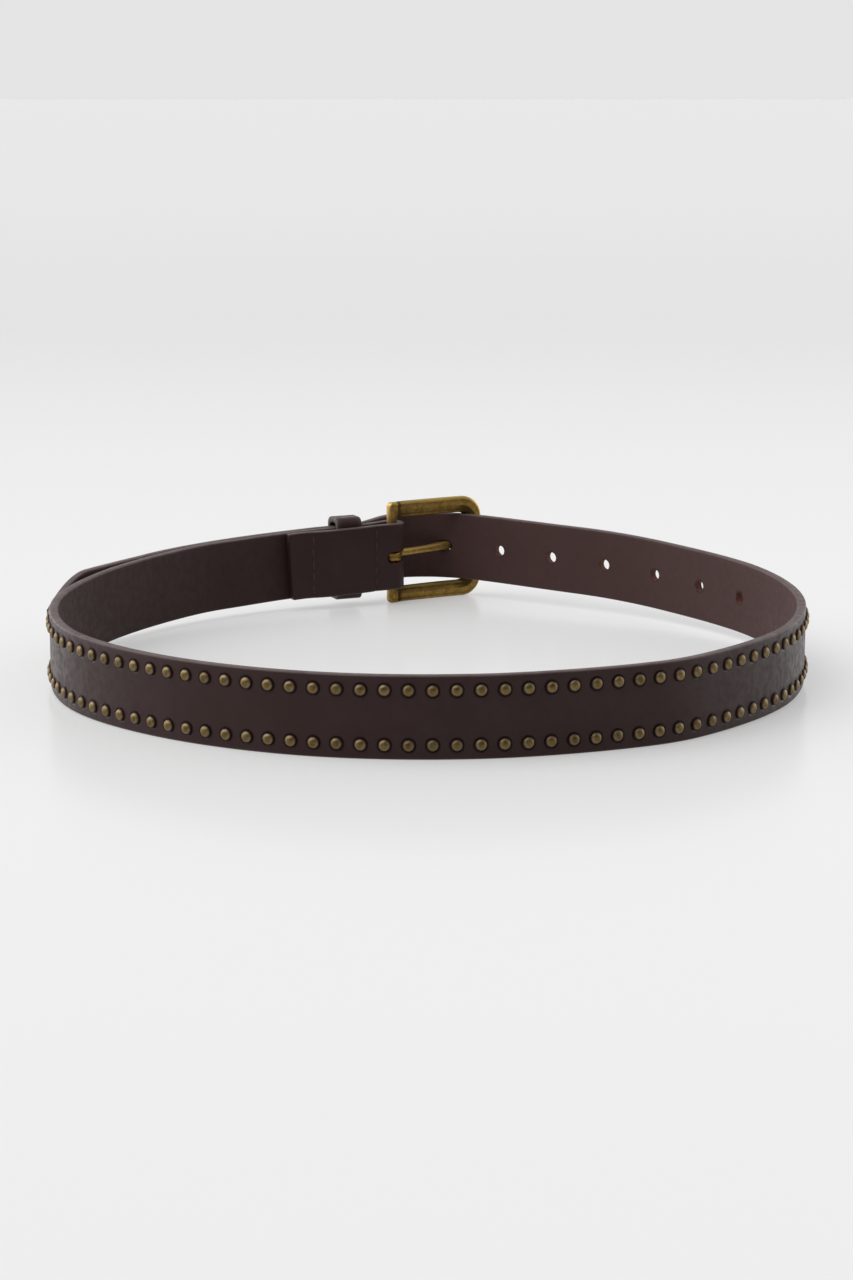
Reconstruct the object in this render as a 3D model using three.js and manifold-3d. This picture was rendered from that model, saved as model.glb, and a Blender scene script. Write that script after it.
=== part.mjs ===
// A buckled leather belt with two rows of brass dome studs, standing on its edge as a closed loop.
// Millimetres. +Z is up, +X to the right, +Y away from the viewer, who looks at the front of the loop.
// The strap is one piece: its return end is folded round the buckle's heel bar, its main run goes
// round by the left, the front and the right, and its free end passes through the buckle and lies
// along the outside of the main run, in the keeper.
import * as THREE from 'three';
import { mergeGeometries, mergeVertices } from 'three/addons/utils/BufferGeometryUtils.js';
import Module from 'manifold-3d';

// Strap
const STRAP_WIDTH = 25.4;
const STRAP_THICK = 3;
const STRAP_CHAMFER = 0.5;
const FOLD_THINNING = 0.8;
const LOOP_WIDTH = 249;
const LOOP_DEPTH = 246;
const RETURN_LENGTH = 43;
const FLAP_REACH = 153;
const TIP_LENGTH = 20;
const TIP_END_HEIGHT = 3;

// Holes in the strap
const HOLE_COUNT = 7;
const HOLE_DIAMETER = 4.2;
const HOLE_PITCH = 23.2;

// Studs
const STUD_DIAMETER = 3.6;
const STUD_HEIGHT = 1.2;
const STUD_SHOULDER = 0.54;
const STUD_PITCH = 7.05;
const STUD_MARGIN = 4.45;
const STUD_START = 138.2;
const STUD_TO_HOLES = 12;

// Buckle
const FRAME_HEIGHT = 39;
const FRAME_THICK = 3.5;
const FRAME_BEVEL = 1.1;
const FRAME_ARCH = 1;
const BAR_SPACING = 36.8;
const HEEL_BAR = 3.4;
const FAR_BAR = 5;
const RAIL = 5.8;
const HEEL_CORNER = 1.5;
const FAR_CORNER = 8;
const BUCKLE_TURN = 2;
const PRONG_WIDTH = 2.3;
const PRONG_THICK = 2.8;
const PRONG_TIP_THICK = 1.8;
const PRONG_EDGE = 0.45;
const PRONG_OVERHANG = 2;
const PRONG_DROP = 1.2;
const RING_WIDTH = 3.3;
const RING_WALL = 1.4;
const SLOT_HEIGHT = 4.8;

// Keeper
const KEEPER_WIDTH = 10;
const KEEPER_WALL = 1.5;
const KEEPER_AT = 17.2;
const KEEPER_PLAY_BELOW = 1.1;
const KEEPER_PLAY_ABOVE = 1.9;
const KEEPER_CORNER = 1.6;

// Clearances between pieces and between the strap's own layers
const GAP = 0.3;
const HOLE_PLAY = 0.5;

// How the free end runs: its angle to the buckle where it passes the far bar, and how far it stands
// off over the heel fold and at its tip
const CROSSING_ANGLE = 30;
const WINDOW_RISE = 6;
const TIP_RISE = 9.4;

// Mesh resolution
const LONG_STEP = 7;
const SHORT_STEP = 3;
const ROUND_SIDES = 12;
const STUD_SIDES = 8;
const FOLD_STEPS = 8;
const PRONG_STEPS = 12;
const RAIL_PIECES = 6;
const CORNER_PIECES = 4;
const LAYER_EASE = 5;
const SAME_POINT = 1e-4;

// Plan of the main run, from the heel of the buckle round by the left and the front to the right.
// x is a share of LOOP_WIDTH from the loop's middle, y of LOOP_DEPTH from its front, and lift of the
// height at which the strap is in the middle of the buckle's window.
const RUN = [
  { x: -0.0642, y: 1.0, lift: 0.9 },
  { x: -0.1043, y: 0.9780, lift: 0.8 },
  { x: -0.1600, y: 0.9530, lift: 0.72 },
  { x: -0.2136, y: 0.9272, lift: 0.65 },
  { x: -0.2743, y: 0.8826, lift: 0.59 },
  { x: -0.3462, y: 0.8207, lift: 0.52 },
  { x: -0.4555, y: 0.6483, lift: 0.33 },
  { x: -0.5000, y: 0.4525, lift: 0.16 },
  { x: -0.4545, y: 0.2577, lift: 0.04 },
  { x: -0.3219, y: 0.1065, lift: 0 },
  { x: -0.1417, y: 0.0162, lift: 0 },
  { x: 0.0587, y: 0.0020, lift: 0 },
  { x: 0.2520, y: 0.0599, lift: 0 },
  { x: 0.3360, y: 0.1167, lift: 0.01 },
  { x: 0.4565, y: 0.2770, lift: 0.09 },
  { x: 0.5000, y: 0.4738, lift: 0.23 },
  { x: 0.4636, y: 0.6716, lift: 0.4 },
  { x: 0.3512, y: 0.8390, lift: 0.63 },
  { x: 0.2743, y: 0.9060, lift: 0.81 },
  { x: 0.1903, y: 0.9607, lift: 0.91 },
];

// The prong's middle line from the heel bar to the far bar: at is a share of BAR_SPACING, and rise
// of the height at which it rests on the far bar. It leaves the ring at the ring's outer side.
const PRONG = [
  { at: 0.4, rise: 0.92 },
  { at: 0.755, rise: 1.12 },
  { at: 1, rise: 1 },
];
const PRONG_HOLE_ROW = 1;
const PRONG_END_RISE = 0.86;
const PRONG_SLIM_FROM = 0.55;

// The free end in the buckle's window, from the prong's hole back over the heel fold: at is a share
// of BAR_SPACING from the heel bar, and out of the way from the hole's place to the full rise.
const WINDOW = [
  { at: 0.6, out: 0.55 },
  { at: 0.32, out: 1 },
  { at: 0.08, out: 0.74 },
];

// The free end along the outside of the main run: at is a share of FLAP_REACH from the heel, and
// off a share of TIP_RISE by which it stands off beyond touching.
const FLAP = [
  { at: 0.07, off: 0.03 },
  { at: 0.21, off: 0 },
  { at: 0.42, off: 0 },
  { at: 0.60, off: 0.02 },
  { at: 0.72, off: 0.08 },
  { at: 0.83, off: 0.26 },
  { at: 0.92, off: 0.54 },
  { at: 1.0, off: 1.0 },
];

// Outline of the pointed tip: back is a share of TIP_LENGTH from the point, half of half the width
// that tapers.
const TIP = [
  { back: 1, half: 1 },
  { back: 0.75, half: 0.92 },
  { back: 0.5, half: 0.74 },
  { back: 0.25, half: 0.45 },
  { back: 0.08, half: 0.18 },
  { back: 0, half: 0 },
];

const FRAME_LIFT = (FRAME_HEIGHT - STRAP_WIDTH) / 2;
const BAR_ROUND = FRAME_BEVEL + Math.hypot(HEEL_BAR / 2 - FRAME_BEVEL, FRAME_THICK / 2 - FRAME_BEVEL);
const FOLD_RADIUS = BAR_ROUND + GAP + STRAP_THICK / 2;
const LAYER_PITCH = STRAP_THICK + GAP;
const KEEPER_LAYER = STRAP_THICK + KEEPER_WALL + 3 * GAP;
const KEEPER_BACK = KEEPER_AT + KEEPER_WIDTH / 2;
const KEEPER_FRONT = KEEPER_AT - KEEPER_WIDTH / 2;
const RING_INNER = BAR_ROUND + GAP;
const RING_OUTER = RING_INNER + RING_WALL;

const wasm = await Module();
wasm.setup();

const leather = new THREE.MeshStandardMaterial({ color: 0x33272a, roughness: 0.55, metalness: 0 });
const keeperLeather = new THREE.MeshStandardMaterial({ color: 0x382b2e, roughness: 0.55, metalness: 0 });
const brass = new THREE.MeshStandardMaterial({ color: 0x82692f, roughness: 0.45, metalness: 1 });
const prongBrass = new THREE.MeshStandardMaterial({ color: 0x8c7235, roughness: 0.4, metalness: 1 });

function smoothStep(value, from, to) {
  const share = THREE.MathUtils.clamp((value - from) / (to - from), 0, 1);
  return share * share * (3 - 2 * share);
}

// The value of a table's column at a place between its rows, along straight lines.
function readTable(rows, placeColumn, valueColumn, place) {
  const next = rows.findIndex((row) => row[placeColumn] >= place);
  if (next <= 0) return rows[next === 0 ? 0 : rows.length - 1][valueColumn];
  const [low, high] = [rows[next - 1], rows[next]];
  const share = (place - low[placeColumn]) / (high[placeColumn] - low[placeColumn]);
  return low[valueColumn] + share * (high[valueColumn] - low[valueColumn]);
}

// A smooth curve through plan points; z carries the height of the strap's lower edge.
const STEPS_PER_POINT = 40;
function smoothPath(points) {
  const curve = new THREE.CatmullRomCurve3(points, false, 'centripetal');
  curve.arcLengthDivisions = STEPS_PER_POINT * (points.length - 1);
  return curve;
}

// Place, and plan direction to the right of travel, at a distance along a curve.
function placeOn(curve, distance) {
  const share = THREE.MathUtils.clamp(distance / curve.getLength(), 0, 1);
  const point = curve.getPointAt(share);
  point.setZ(Math.max(point.z, 0));
  const tangent = curve.getTangentAt(share).setZ(0).normalize();
  return { point, tangent, outward: new THREE.Vector3(tangent.y, -tangent.x, 0) };
}

const runPoints = RUN.map((row) => new THREE.Vector3(
  row.x * LOOP_WIDTH, row.y * LOOP_DEPTH, row.lift * FRAME_LIFT));
const runPath = smoothPath(runPoints);

// The buckle's own axes: u from the heel bar to the far bar, n outwards, with the origin on the
// heel bar's axis at the height of the surface. It hangs turned a little from the strap's own line.
const UP = new THREE.Vector3(0, 0, 1);
const heel = placeOn(runPath, 0);
const buckleTurn = THREE.MathUtils.degToRad(BUCKLE_TURN);
const axisU = heel.tangent.clone().negate().applyAxisAngle(UP, buckleTurn);
const axisN = heel.outward.clone().applyAxisAngle(UP, buckleTurn);
const heelAxis = heel.point.clone().addScaledVector(axisN, -FOLD_RADIUS).setZ(0);
function inBuckle(u, n, z) {
  return heelAxis.clone().addScaledVector(axisU, u).addScaledVector(axisN, n).setZ(z);
}

// The prong leaves its ring's outer side, goes through its hole and lies on the far bar.
const PRONG_REST = FRAME_THICK / 2 + GAP + PRONG_THICK / 2;
const HOLE_U = BAR_SPACING * PRONG[PRONG_HOLE_ROW].at;
const prongLine = smoothPath([
  new THREE.Vector3(0, RING_OUTER - PRONG_THICK / 2, 0),
  ...PRONG.map((row) => new THREE.Vector3(row.at * BAR_SPACING, row.rise * PRONG_REST, 0)),
  new THREE.Vector3(BAR_SPACING + FAR_BAR / 2 + PRONG_OVERHANG, PRONG_END_RISE * PRONG_REST, 0),
]);
const HOLE_N = PRONG_REST * PRONG[PRONG_HOLE_ROW].rise;

// The free end passes inside the far bar, out through the window and over the heel fold.
const FULL_RISE = FOLD_RADIUS + LAYER_PITCH + WINDOW_RISE;
const crossing = THREE.MathUtils.degToRad(CROSSING_ANGLE);
const FAR_PASS = Math.hypot(FAR_BAR, FRAME_THICK) / 2 + GAP + STRAP_THICK / 2;
const windowPoints = [
  inBuckle(BAR_SPACING - FAR_PASS * Math.cos(crossing), -FAR_PASS * Math.sin(crossing), FRAME_LIFT),
  inBuckle(HOLE_U, HOLE_N, FRAME_LIFT),
  ...WINDOW.map((row) => inBuckle(
    row.at * BAR_SPACING, THREE.MathUtils.lerp(HOLE_N, FULL_RISE, row.out), FRAME_LIFT)),
];

const flapPoints = FLAP.map((row) => {
  const under = placeOn(runPath, row.at * FLAP_REACH);
  return under.point.addScaledVector(under.outward, LAYER_PITCH + row.off * TIP_RISE);
});

const wholePath = smoothPath([...runPoints, ...windowPoints, ...flapPoints]);
const wholeLength = wholePath.getLength();
const lengthsAt = wholePath.getLengths();
const prongHoleAt = lengthsAt[(runPoints.length + 1) * STEPS_PER_POINT];
const buckleFrom = lengthsAt[(runPoints.length - 1) * STEPS_PER_POINT];
const buckleTo = lengthsAt[(runPoints.length + windowPoints.length + 1) * STEPS_PER_POINT];

// Distance between the middles of the return and the main run: round the bar, then apart by the
// keeper's inner side, then flat together.
function layerDistance(distance) {
  const closing = smoothStep(distance, 0, KEEPER_FRONT - SHORT_STEP);
  const beforeKeeper = THREE.MathUtils.lerp(2 * FOLD_RADIUS, KEEPER_LAYER, closing);
  const pastKeeper = KEEPER_BACK + SHORT_STEP;
  const flat = smoothStep(distance, pastKeeper, pastKeeper + LAYER_EASE);
  return THREE.MathUtils.lerp(beforeKeeper, LAYER_PITCH, flat);
}

// Share of the half width that is left at a distance before the tip.
function tipShare(beforeTip) {
  const rows = [...TIP].reverse();
  const endShare = TIP_END_HEIGHT / STRAP_WIDTH;
  return endShare + (1 - endShare) * readTable(rows, 'back', 'half', beforeTip / TIP_LENGTH);
}

function returnStations() {
  const stations = [];
  const count = Math.ceil(RETURN_LENGTH / SHORT_STEP);
  for (let i = count; i > 0; i -= 1) {
    const distance = (i / count) * RETURN_LENGTH;
    const place = placeOn(runPath, distance);
    stations.push({ point: place.point.addScaledVector(place.outward, -layerDistance(distance)), half: 1 });
  }
  return stations;
}

function foldStations() {
  const stations = [];
  for (let i = 0; i < FOLD_STEPS; i += 1) {
    const angle = (i / FOLD_STEPS - 0.5) * Math.PI;
    const point = inBuckle(FOLD_RADIUS * Math.cos(angle), FOLD_RADIUS * Math.sin(angle), heel.point.z);
    stations.push({ point, half: 1, thinning: FOLD_THINNING * Math.cos(angle) });
  }
  return stations;
}

// Even steps between two distances along the whole path, the first of them left out.
function pathStations(from, to, step) {
  const count = Math.ceil((to - from) / step);
  return Array.from({ length: count }, (_, i) => {
    const distance = from + ((i + 1) / count) * (to - from);
    return { point: placeOn(wholePath, distance).point, half: 1 };
  });
}

function tipStations() {
  return TIP.map((row) => {
    const beforeTip = row.back * TIP_LENGTH;
    return { point: placeOn(wholePath, wholeLength - beforeTip).point, half: tipShare(beforeTip) };
  });
}

const tipStart = wholeLength - TIP_LENGTH;
const spine = [
  ...returnStations(),
  ...foldStations(),
  { point: heel.point.clone(), half: 1 },
  ...pathStations(0, KEEPER_BACK, SHORT_STEP),
  ...pathStations(KEEPER_BACK, buckleFrom, LONG_STEP),
  ...pathStations(buckleFrom, buckleTo, SHORT_STEP),
  ...pathStations(buckleTo, tipStart - SHORT_STEP, LONG_STEP),
  ...tipStations(),
];

// A closed solid from rings of points; ring follows ring along the piece, and both ends are capped.
function loft(rings) {
  const sides = rings[0].length;
  const position = new Float32Array(rings.flat().flatMap((point) => [point.x, point.y, point.z]));
  const index = [];
  for (let r = 0; r + 1 < rings.length; r += 1) {
    for (let s = 0; s < sides; s += 1) {
      const [a, b] = [r * sides + s, r * sides + ((s + 1) % sides)];
      index.push(a, b + sides, b, a, a + sides, b + sides);
    }
  }
  const last = (rings.length - 1) * sides;
  for (let s = 1; s + 1 < sides; s += 1) {
    index.push(0, s, s + 1, last, last + s + 1, last + s);
  }
  const geometry = new THREE.BufferGeometry();
  geometry.setAttribute('position', new THREE.BufferAttribute(position, 3));
  geometry.setIndex(index);
  return geometry;
}

// The strap's section at a station: a flat rectangle on edge with small chamfers, square to the
// mean direction of travel, and widened at bends so that the leather keeps its thickness. The fold's
// outer face is thinned.
function strapRing(stations, i) {
  const before = stations[Math.max(i - 1, 0)].point;
  const here = stations[i].point;
  const after = stations[Math.min(i + 1, stations.length - 1)].point;
  const arriving = here.clone().sub(i > 0 ? before : here).setZ(0).normalize();
  const leaving = after.clone().sub(i + 1 < stations.length ? here : after).setZ(0).normalize();
  const travel = arriving.clone().add(leaving).normalize();
  const side = new THREE.Vector3(travel.y, -travel.x, 0);
  const bend = Math.max(arriving.lengthSq(), leaving.lengthSq()) > 0
    ? Math.max(travel.dot(arriving), travel.dot(leaving)) : 1;
  const halfThick = STRAP_THICK / 2 / bend;
  const outer = halfThick - (stations[i].thinning ?? 0);
  const halfWidth = (STRAP_WIDTH / 2) * stations[i].half;
  const middle = here.z + STRAP_WIDTH / 2;
  const cut = Math.min(STRAP_CHAMFER, STRAP_THICK / 4, halfWidth / 2);
  const corners = [
    [-halfThick + cut, -halfWidth], [outer - cut, -halfWidth],
    [outer, -halfWidth + cut], [outer, halfWidth - cut],
    [outer - cut, halfWidth], [-halfThick + cut, halfWidth],
    [-halfThick, halfWidth - cut], [-halfThick, -halfWidth + cut],
  ];
  return corners.map(([across, up]) => here.clone().addScaledVector(side, across).setZ(middle + up));
}

function toSolid(geometry) {
  const bare = geometry.clone();
  bare.deleteAttribute('normal');
  bare.deleteAttribute('uv');
  const merged = mergeVertices(bare, SAME_POINT);
  return new wasm.Manifold(new wasm.Mesh({
    numProp: 3,
    vertProperties: new Float32Array(merged.getAttribute('position').array),
    triVerts: new Uint32Array(merged.getIndex().array),
  }));
}

function toGeometry(solid) {
  const mesh = solid.getMesh();
  const geometry = new THREE.BufferGeometry();
  geometry.setAttribute('position', new THREE.BufferAttribute(mesh.vertProperties, 3));
  geometry.setIndex(new THREE.BufferAttribute(mesh.triVerts, 1));
  return geometry;
}

// Turns a geometry made round +Y so that +Y points along a plan direction, and moves it to a place.
function aimed(geometry, direction, place) {
  const turn = new THREE.Quaternion().setFromUnitVectors(new THREE.Vector3(0, 1, 0), direction);
  return geometry.applyQuaternion(turn).translate(place.x, place.y, place.z);
}

// A stud's dome, with its root sunk into the leather.
function studDome(place, outward) {
  const radius = STUD_DIAMETER / 2;
  const profile = [
    new THREE.Vector2(0, -STRAP_THICK / 4),
    new THREE.Vector2(radius, -STRAP_THICK / 4),
    new THREE.Vector2(radius, STUD_SHOULDER),
    new THREE.Vector2(0, STUD_HEIGHT),
  ];
  return aimed(new THREE.LatheGeometry(profile, STUD_SIDES), outward, place);
}

function studField() {
  const firstHole = prongHoleAt - (HOLE_COUNT - 1) * HOLE_PITCH;
  const count = Math.floor((firstHole - STUD_TO_HOLES - STUD_START) / STUD_PITCH) + 1;
  const studs = [];
  for (let i = 0; i < count; i += 1) {
    const { point, outward } = placeOn(wholePath, STUD_START + i * STUD_PITCH);
    const onFace = point.clone().addScaledVector(outward, STRAP_THICK / 2);
    for (const up of [STUD_MARGIN, STRAP_WIDTH - STUD_MARGIN]) {
      studs.push(studDome(onFace.clone().setZ(point.z + up), outward));
    }
  }
  return mergeGeometries(studs);
}

function holeCutters() {
  const cutters = [];
  const radius = HOLE_DIAMETER / 2;
  for (let i = 1; i < HOLE_COUNT; i += 1) {
    const { point, outward } = placeOn(wholePath, prongHoleAt - i * HOLE_PITCH);
    const pin = new THREE.CylinderGeometry(radius, radius, 3 * STRAP_THICK, ROUND_SIDES);
    cutters.push(aimed(pin, outward, point.clone().setZ(point.z + STRAP_WIDTH / 2)));
  }
  return cutters;
}

// The prong stretches its own hole along its way through the strap.
function prongHoleCutter() {
  const radius = Math.hypot(PRONG_THICK, PRONG_WIDTH) / 2 + HOLE_PLAY;
  const pin = new THREE.CylinderGeometry(radius, radius, 5 * STRAP_THICK, ROUND_SIDES);
  const along = prongLine.getTangent((PRONG_HOLE_ROW + 1) / (PRONG.length + 1));
  const direction = axisU.clone().multiplyScalar(along.x).addScaledVector(axisN, along.y);
  return aimed(pin, direction, inBuckle(HOLE_U, HOLE_N, FRAME_LIFT + STRAP_WIDTH / 2));
}

// The slot in the fold that lets the prong's ring round the heel bar.
function slotCutter() {
  const half = SLOT_HEIGHT / 2;
  const reach = RING_OUTER + 2 * GAP - half;
  const outline = new THREE.Shape();
  outline.moveTo(2 * FOLD_RADIUS, -half);
  outline.lineTo(2 * FOLD_RADIUS, half);
  outline.lineTo(-reach, half);
  outline.absarc(-reach, 0, half, Math.PI / 2, -Math.PI / 2, false);
  const depth = 4 * FOLD_RADIUS;
  const cutter = new THREE.ExtrudeGeometry(outline, {
    depth, bevelEnabled: false, curveSegments: ROUND_SIDES / 2,
  });
  cutter.translate(0, 0, -depth / 2);
  const basis = new THREE.Matrix4().makeBasis(axisU, UP, axisN.clone().negate());
  cutter.applyMatrix4(basis);
  return cutter.translate(heelAxis.x, heelAxis.y, FRAME_HEIGHT / 2 - PRONG_DROP);
}

function strapGeometry() {
  const body = toSolid(loft(spine.map((_, i) => strapRing(spine, i))));
  let solid = body.add(toSolid(studField()));
  for (const cutter of [...holeCutters(), prongHoleCutter(), slotCutter()]) {
    solid = solid.subtract(toSolid(cutter));
  }
  return toGeometry(solid);
}

// A rectangle with its own rounding at the low-x and the high-x corners. Straight sides along x are
// divided so that they can be arched.
function roundedOutline(path, x0, x1, y0, y1, lowRound, highRound) {
  const step = (x1 - highRound - x0 - lowRound) / RAIL_PIECES;
  path.moveTo(x0 + lowRound, y0);
  for (let i = 1; i <= RAIL_PIECES; i += 1) path.lineTo(x0 + lowRound + i * step, y0);
  path.absarc(x1 - highRound, y0 + highRound, highRound, -Math.PI / 2, 0, false);
  path.lineTo(x1, y1 - highRound);
  path.absarc(x1 - highRound, y1 - highRound, highRound, 0, Math.PI / 2, false);
  for (let i = 1; i <= RAIL_PIECES; i += 1) path.lineTo(x1 - highRound - i * step, y1);
  path.absarc(x0 + lowRound, y1 - lowRound, lowRound, Math.PI / 2, Math.PI, false);
  path.lineTo(x0, y0 + lowRound);
  path.absarc(x0 + lowRound, y0 + lowRound, lowRound, Math.PI, 1.5 * Math.PI, false);
  return path;
}

// The buckle's frame in its own axes: u along +X, n along +Y. Its rails arch outwards a little.
function frameGeometry() {
  const inset = FRAME_BEVEL;
  const outline = roundedOutline(new THREE.Shape(),
    -HEEL_BAR / 2 + inset, BAR_SPACING + FAR_BAR / 2 - inset, inset, FRAME_HEIGHT - inset,
    HEEL_CORNER - inset / 2, FAR_CORNER - inset);
  outline.holes.push(roundedOutline(new THREE.Path(),
    HEEL_BAR / 2 - inset, BAR_SPACING - FAR_BAR / 2 + inset, RAIL - inset, FRAME_HEIGHT - RAIL + inset,
    HEEL_CORNER / 2, FAR_CORNER / 2));
  const geometry = new THREE.ExtrudeGeometry(outline, {
    depth: FRAME_THICK - 2 * FRAME_BEVEL,
    bevelThickness: FRAME_BEVEL,
    bevelSize: FRAME_BEVEL,
    bevelSegments: 2,
    curveSegments: CORNER_PIECES,
  });
  geometry.translate(0, 0, -(FRAME_THICK - 2 * FRAME_BEVEL) / 2);
  geometry.rotateX(Math.PI / 2);
  const position = geometry.getAttribute('position');
  const archFrom = HEEL_BAR / 2;
  const archTo = BAR_SPACING - FAR_BAR / 2;
  for (let i = 0; i < position.count; i += 1) {
    const share = THREE.MathUtils.clamp((position.getX(i) - archFrom) / (archTo - archFrom), 0, 1);
    position.setY(i, position.getY(i) + FRAME_ARCH * 4 * share * (1 - share));
  }
  return geometry;
}

// The prong seen along its pivot: a ring round the heel bar and a shank that narrows to its tip,
// hollowed where it would reach into the ring.
function prongGeometry() {
  const edge = { outer: [], inner: [] };
  for (let i = 0; i <= PRONG_STEPS; i += 1) {
    const share = i / PRONG_STEPS;
    const point = prongLine.getPointAt(share);
    const along = prongLine.getTangentAt(share);
    const slim = smoothStep(share, PRONG_SLIM_FROM, 1);
    const half = THREE.MathUtils.lerp(PRONG_THICK, PRONG_TIP_THICK, slim) / 2;
    edge.outer.push(new THREE.Vector2(point.x - along.y * half, point.y + along.x * half));
    edge.inner.push(new THREE.Vector2(point.x + along.y * half, point.y - along.x * half));
  }
  const shankOutline = new THREE.Shape([...edge.inner, ...edge.outer.reverse()]);
  const settings = {
    bevelThickness: PRONG_EDGE,
    bevelSize: PRONG_EDGE,
    bevelOffset: -PRONG_EDGE,
    bevelSegments: 1,
  };
  const shankDepth = PRONG_WIDTH - 2 * PRONG_EDGE;
  const shank = new THREE.ExtrudeGeometry(shankOutline, { ...settings, depth: shankDepth });
  shank.translate(0, 0, -shankDepth / 2);
  const ringOutline = new THREE.Shape().absarc(0, 0, RING_OUTER, 0, 2 * Math.PI, false);
  ringOutline.holes.push(new THREE.Path().absarc(0, 0, RING_INNER, 0, 2 * Math.PI, true));
  const ringDepth = RING_WIDTH - 2 * PRONG_EDGE;
  const ring = new THREE.ExtrudeGeometry(ringOutline, {
    ...settings, depth: ringDepth, curveSegments: ROUND_SIDES,
  });
  ring.translate(0, 0, -ringDepth / 2);
  const boreRadius = RING_INNER + RING_WALL / 2;
  const bore = new THREE.CylinderGeometry(boreRadius, boreRadius, 2 * RING_WIDTH, 2 * ROUND_SIDES);
  bore.rotateX(Math.PI / 2);
  return toGeometry(toSolid(shank).subtract(toSolid(bore)).add(toSolid(ring)));
}

// The keeper: a closed band round the main run and the free end, its inner side between the main
// run and the return. Its outline lies across the strap and it is as long as it is wide along it.
function keeperGeometry() {
  const inner = { in: -STRAP_THICK / 2 - 1.5 * GAP, out: STRAP_THICK / 2 + LAYER_PITCH + 1.5 * GAP };
  const low = -KEEPER_PLAY_BELOW;
  const high = STRAP_WIDTH + KEEPER_PLAY_ABOVE;
  const outline = roundedOutline(new THREE.Shape(),
    inner.in - KEEPER_WALL, inner.out + KEEPER_WALL, low - KEEPER_WALL, high + KEEPER_WALL,
    KEEPER_CORNER, KEEPER_CORNER);
  outline.holes.push(roundedOutline(new THREE.Path(), inner.in, inner.out, low, high,
    KEEPER_CORNER / 2, KEEPER_CORNER / 2));
  const geometry = new THREE.ExtrudeGeometry(outline, {
    depth: KEEPER_WIDTH, bevelEnabled: false, curveSegments: CORNER_PIECES,
  });
  return geometry.translate(0, 0, -KEEPER_WIDTH / 2);
}

function named(name, geometry, material) {
  const mesh = new THREE.Mesh(geometry, material);
  mesh.name = name;
  return mesh;
}

const strap = named('strap', strapGeometry(), leather);

const keeper = named('keeper_loop', keeperGeometry(), keeperLeather);
const keeperPlace = placeOn(runPath, KEEPER_AT);
keeper.quaternion.setFromRotationMatrix(new THREE.Matrix4().makeBasis(
  keeperPlace.outward, UP, keeperPlace.tangent.clone().negate()));
keeper.position.copy(keeperPlace.point);

const frame = named('buckle_frame', frameGeometry(), brass);
const prong = named('buckle_prong', prongGeometry(), prongBrass);
prong.position.z = FRAME_HEIGHT / 2 - PRONG_DROP;
prong.rotation.y = -Math.atan2(PRONG_DROP, HOLE_U);

const buckle = new THREE.Group();
buckle.add(frame, prong);
buckle.position.copy(heelAxis);
buckle.rotation.z = Math.atan2(axisU.y, axisU.x);

// The origin lies under the middle of the whole belt, on the surface that it stands on.
const belt = new THREE.Group();
belt.add(strap, keeper, buckle);
belt.updateMatrixWorld(true);
const extent = new THREE.Box3().setFromObject(belt, true);
const middle = extent.getCenter(new THREE.Vector3());
belt.position.set(-middle.x, -middle.y, 0);

export default belt;
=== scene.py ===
"""A studded leather belt, fastened and standing on its edge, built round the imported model.

Lengths are in millimetres until a mesh is made, which turns them into metres. The loop's own axes are
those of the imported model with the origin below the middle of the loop's front.
"""
import math

import bmesh
import bpy
import numpy as np
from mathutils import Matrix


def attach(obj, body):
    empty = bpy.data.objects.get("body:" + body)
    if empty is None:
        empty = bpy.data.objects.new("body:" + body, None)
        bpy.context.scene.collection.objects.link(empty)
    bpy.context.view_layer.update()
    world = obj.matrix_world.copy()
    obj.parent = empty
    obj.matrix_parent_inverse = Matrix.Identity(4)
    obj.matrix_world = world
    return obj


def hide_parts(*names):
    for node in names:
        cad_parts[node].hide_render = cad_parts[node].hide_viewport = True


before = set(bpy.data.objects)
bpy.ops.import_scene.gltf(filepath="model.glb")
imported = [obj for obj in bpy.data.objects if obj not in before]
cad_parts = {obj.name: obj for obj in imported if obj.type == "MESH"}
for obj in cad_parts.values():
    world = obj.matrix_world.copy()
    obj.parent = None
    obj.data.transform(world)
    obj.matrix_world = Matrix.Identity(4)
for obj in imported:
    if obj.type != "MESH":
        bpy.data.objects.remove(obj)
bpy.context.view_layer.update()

MM = 0.001
LOOP_ORIGIN = np.array([2.956, -132.006, 0.0])

# Sizes of the strap, its holes and its studs
STRAP_WIDTH = 25.4
STRAP_THICK = 3.0
STRAP_ROUND = 0.55
EDGE_BAND = (0.6, 0.15)
FOLD_THINNING = 0.8
LOOP_WIDTH = 249.0
LOOP_DEPTH = 246.0
RETURN_LENGTH = 43.0
FLAP_REACH = 153.0
TIP_LENGTH = 20.0
TIP_END_HEIGHT = 3.0
HOLE_COUNT = 7
HOLE_DIAMETER = 4.2
HOLE_PITCH = 23.2
STUD_DIAMETER = 3.6
STUD_HEIGHT = 1.2
STUD_PITCH = 7.05
STUD_MARGIN = 4.45
STUD_START = 138.2
STUD_TO_HOLES = 12.0

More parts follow.
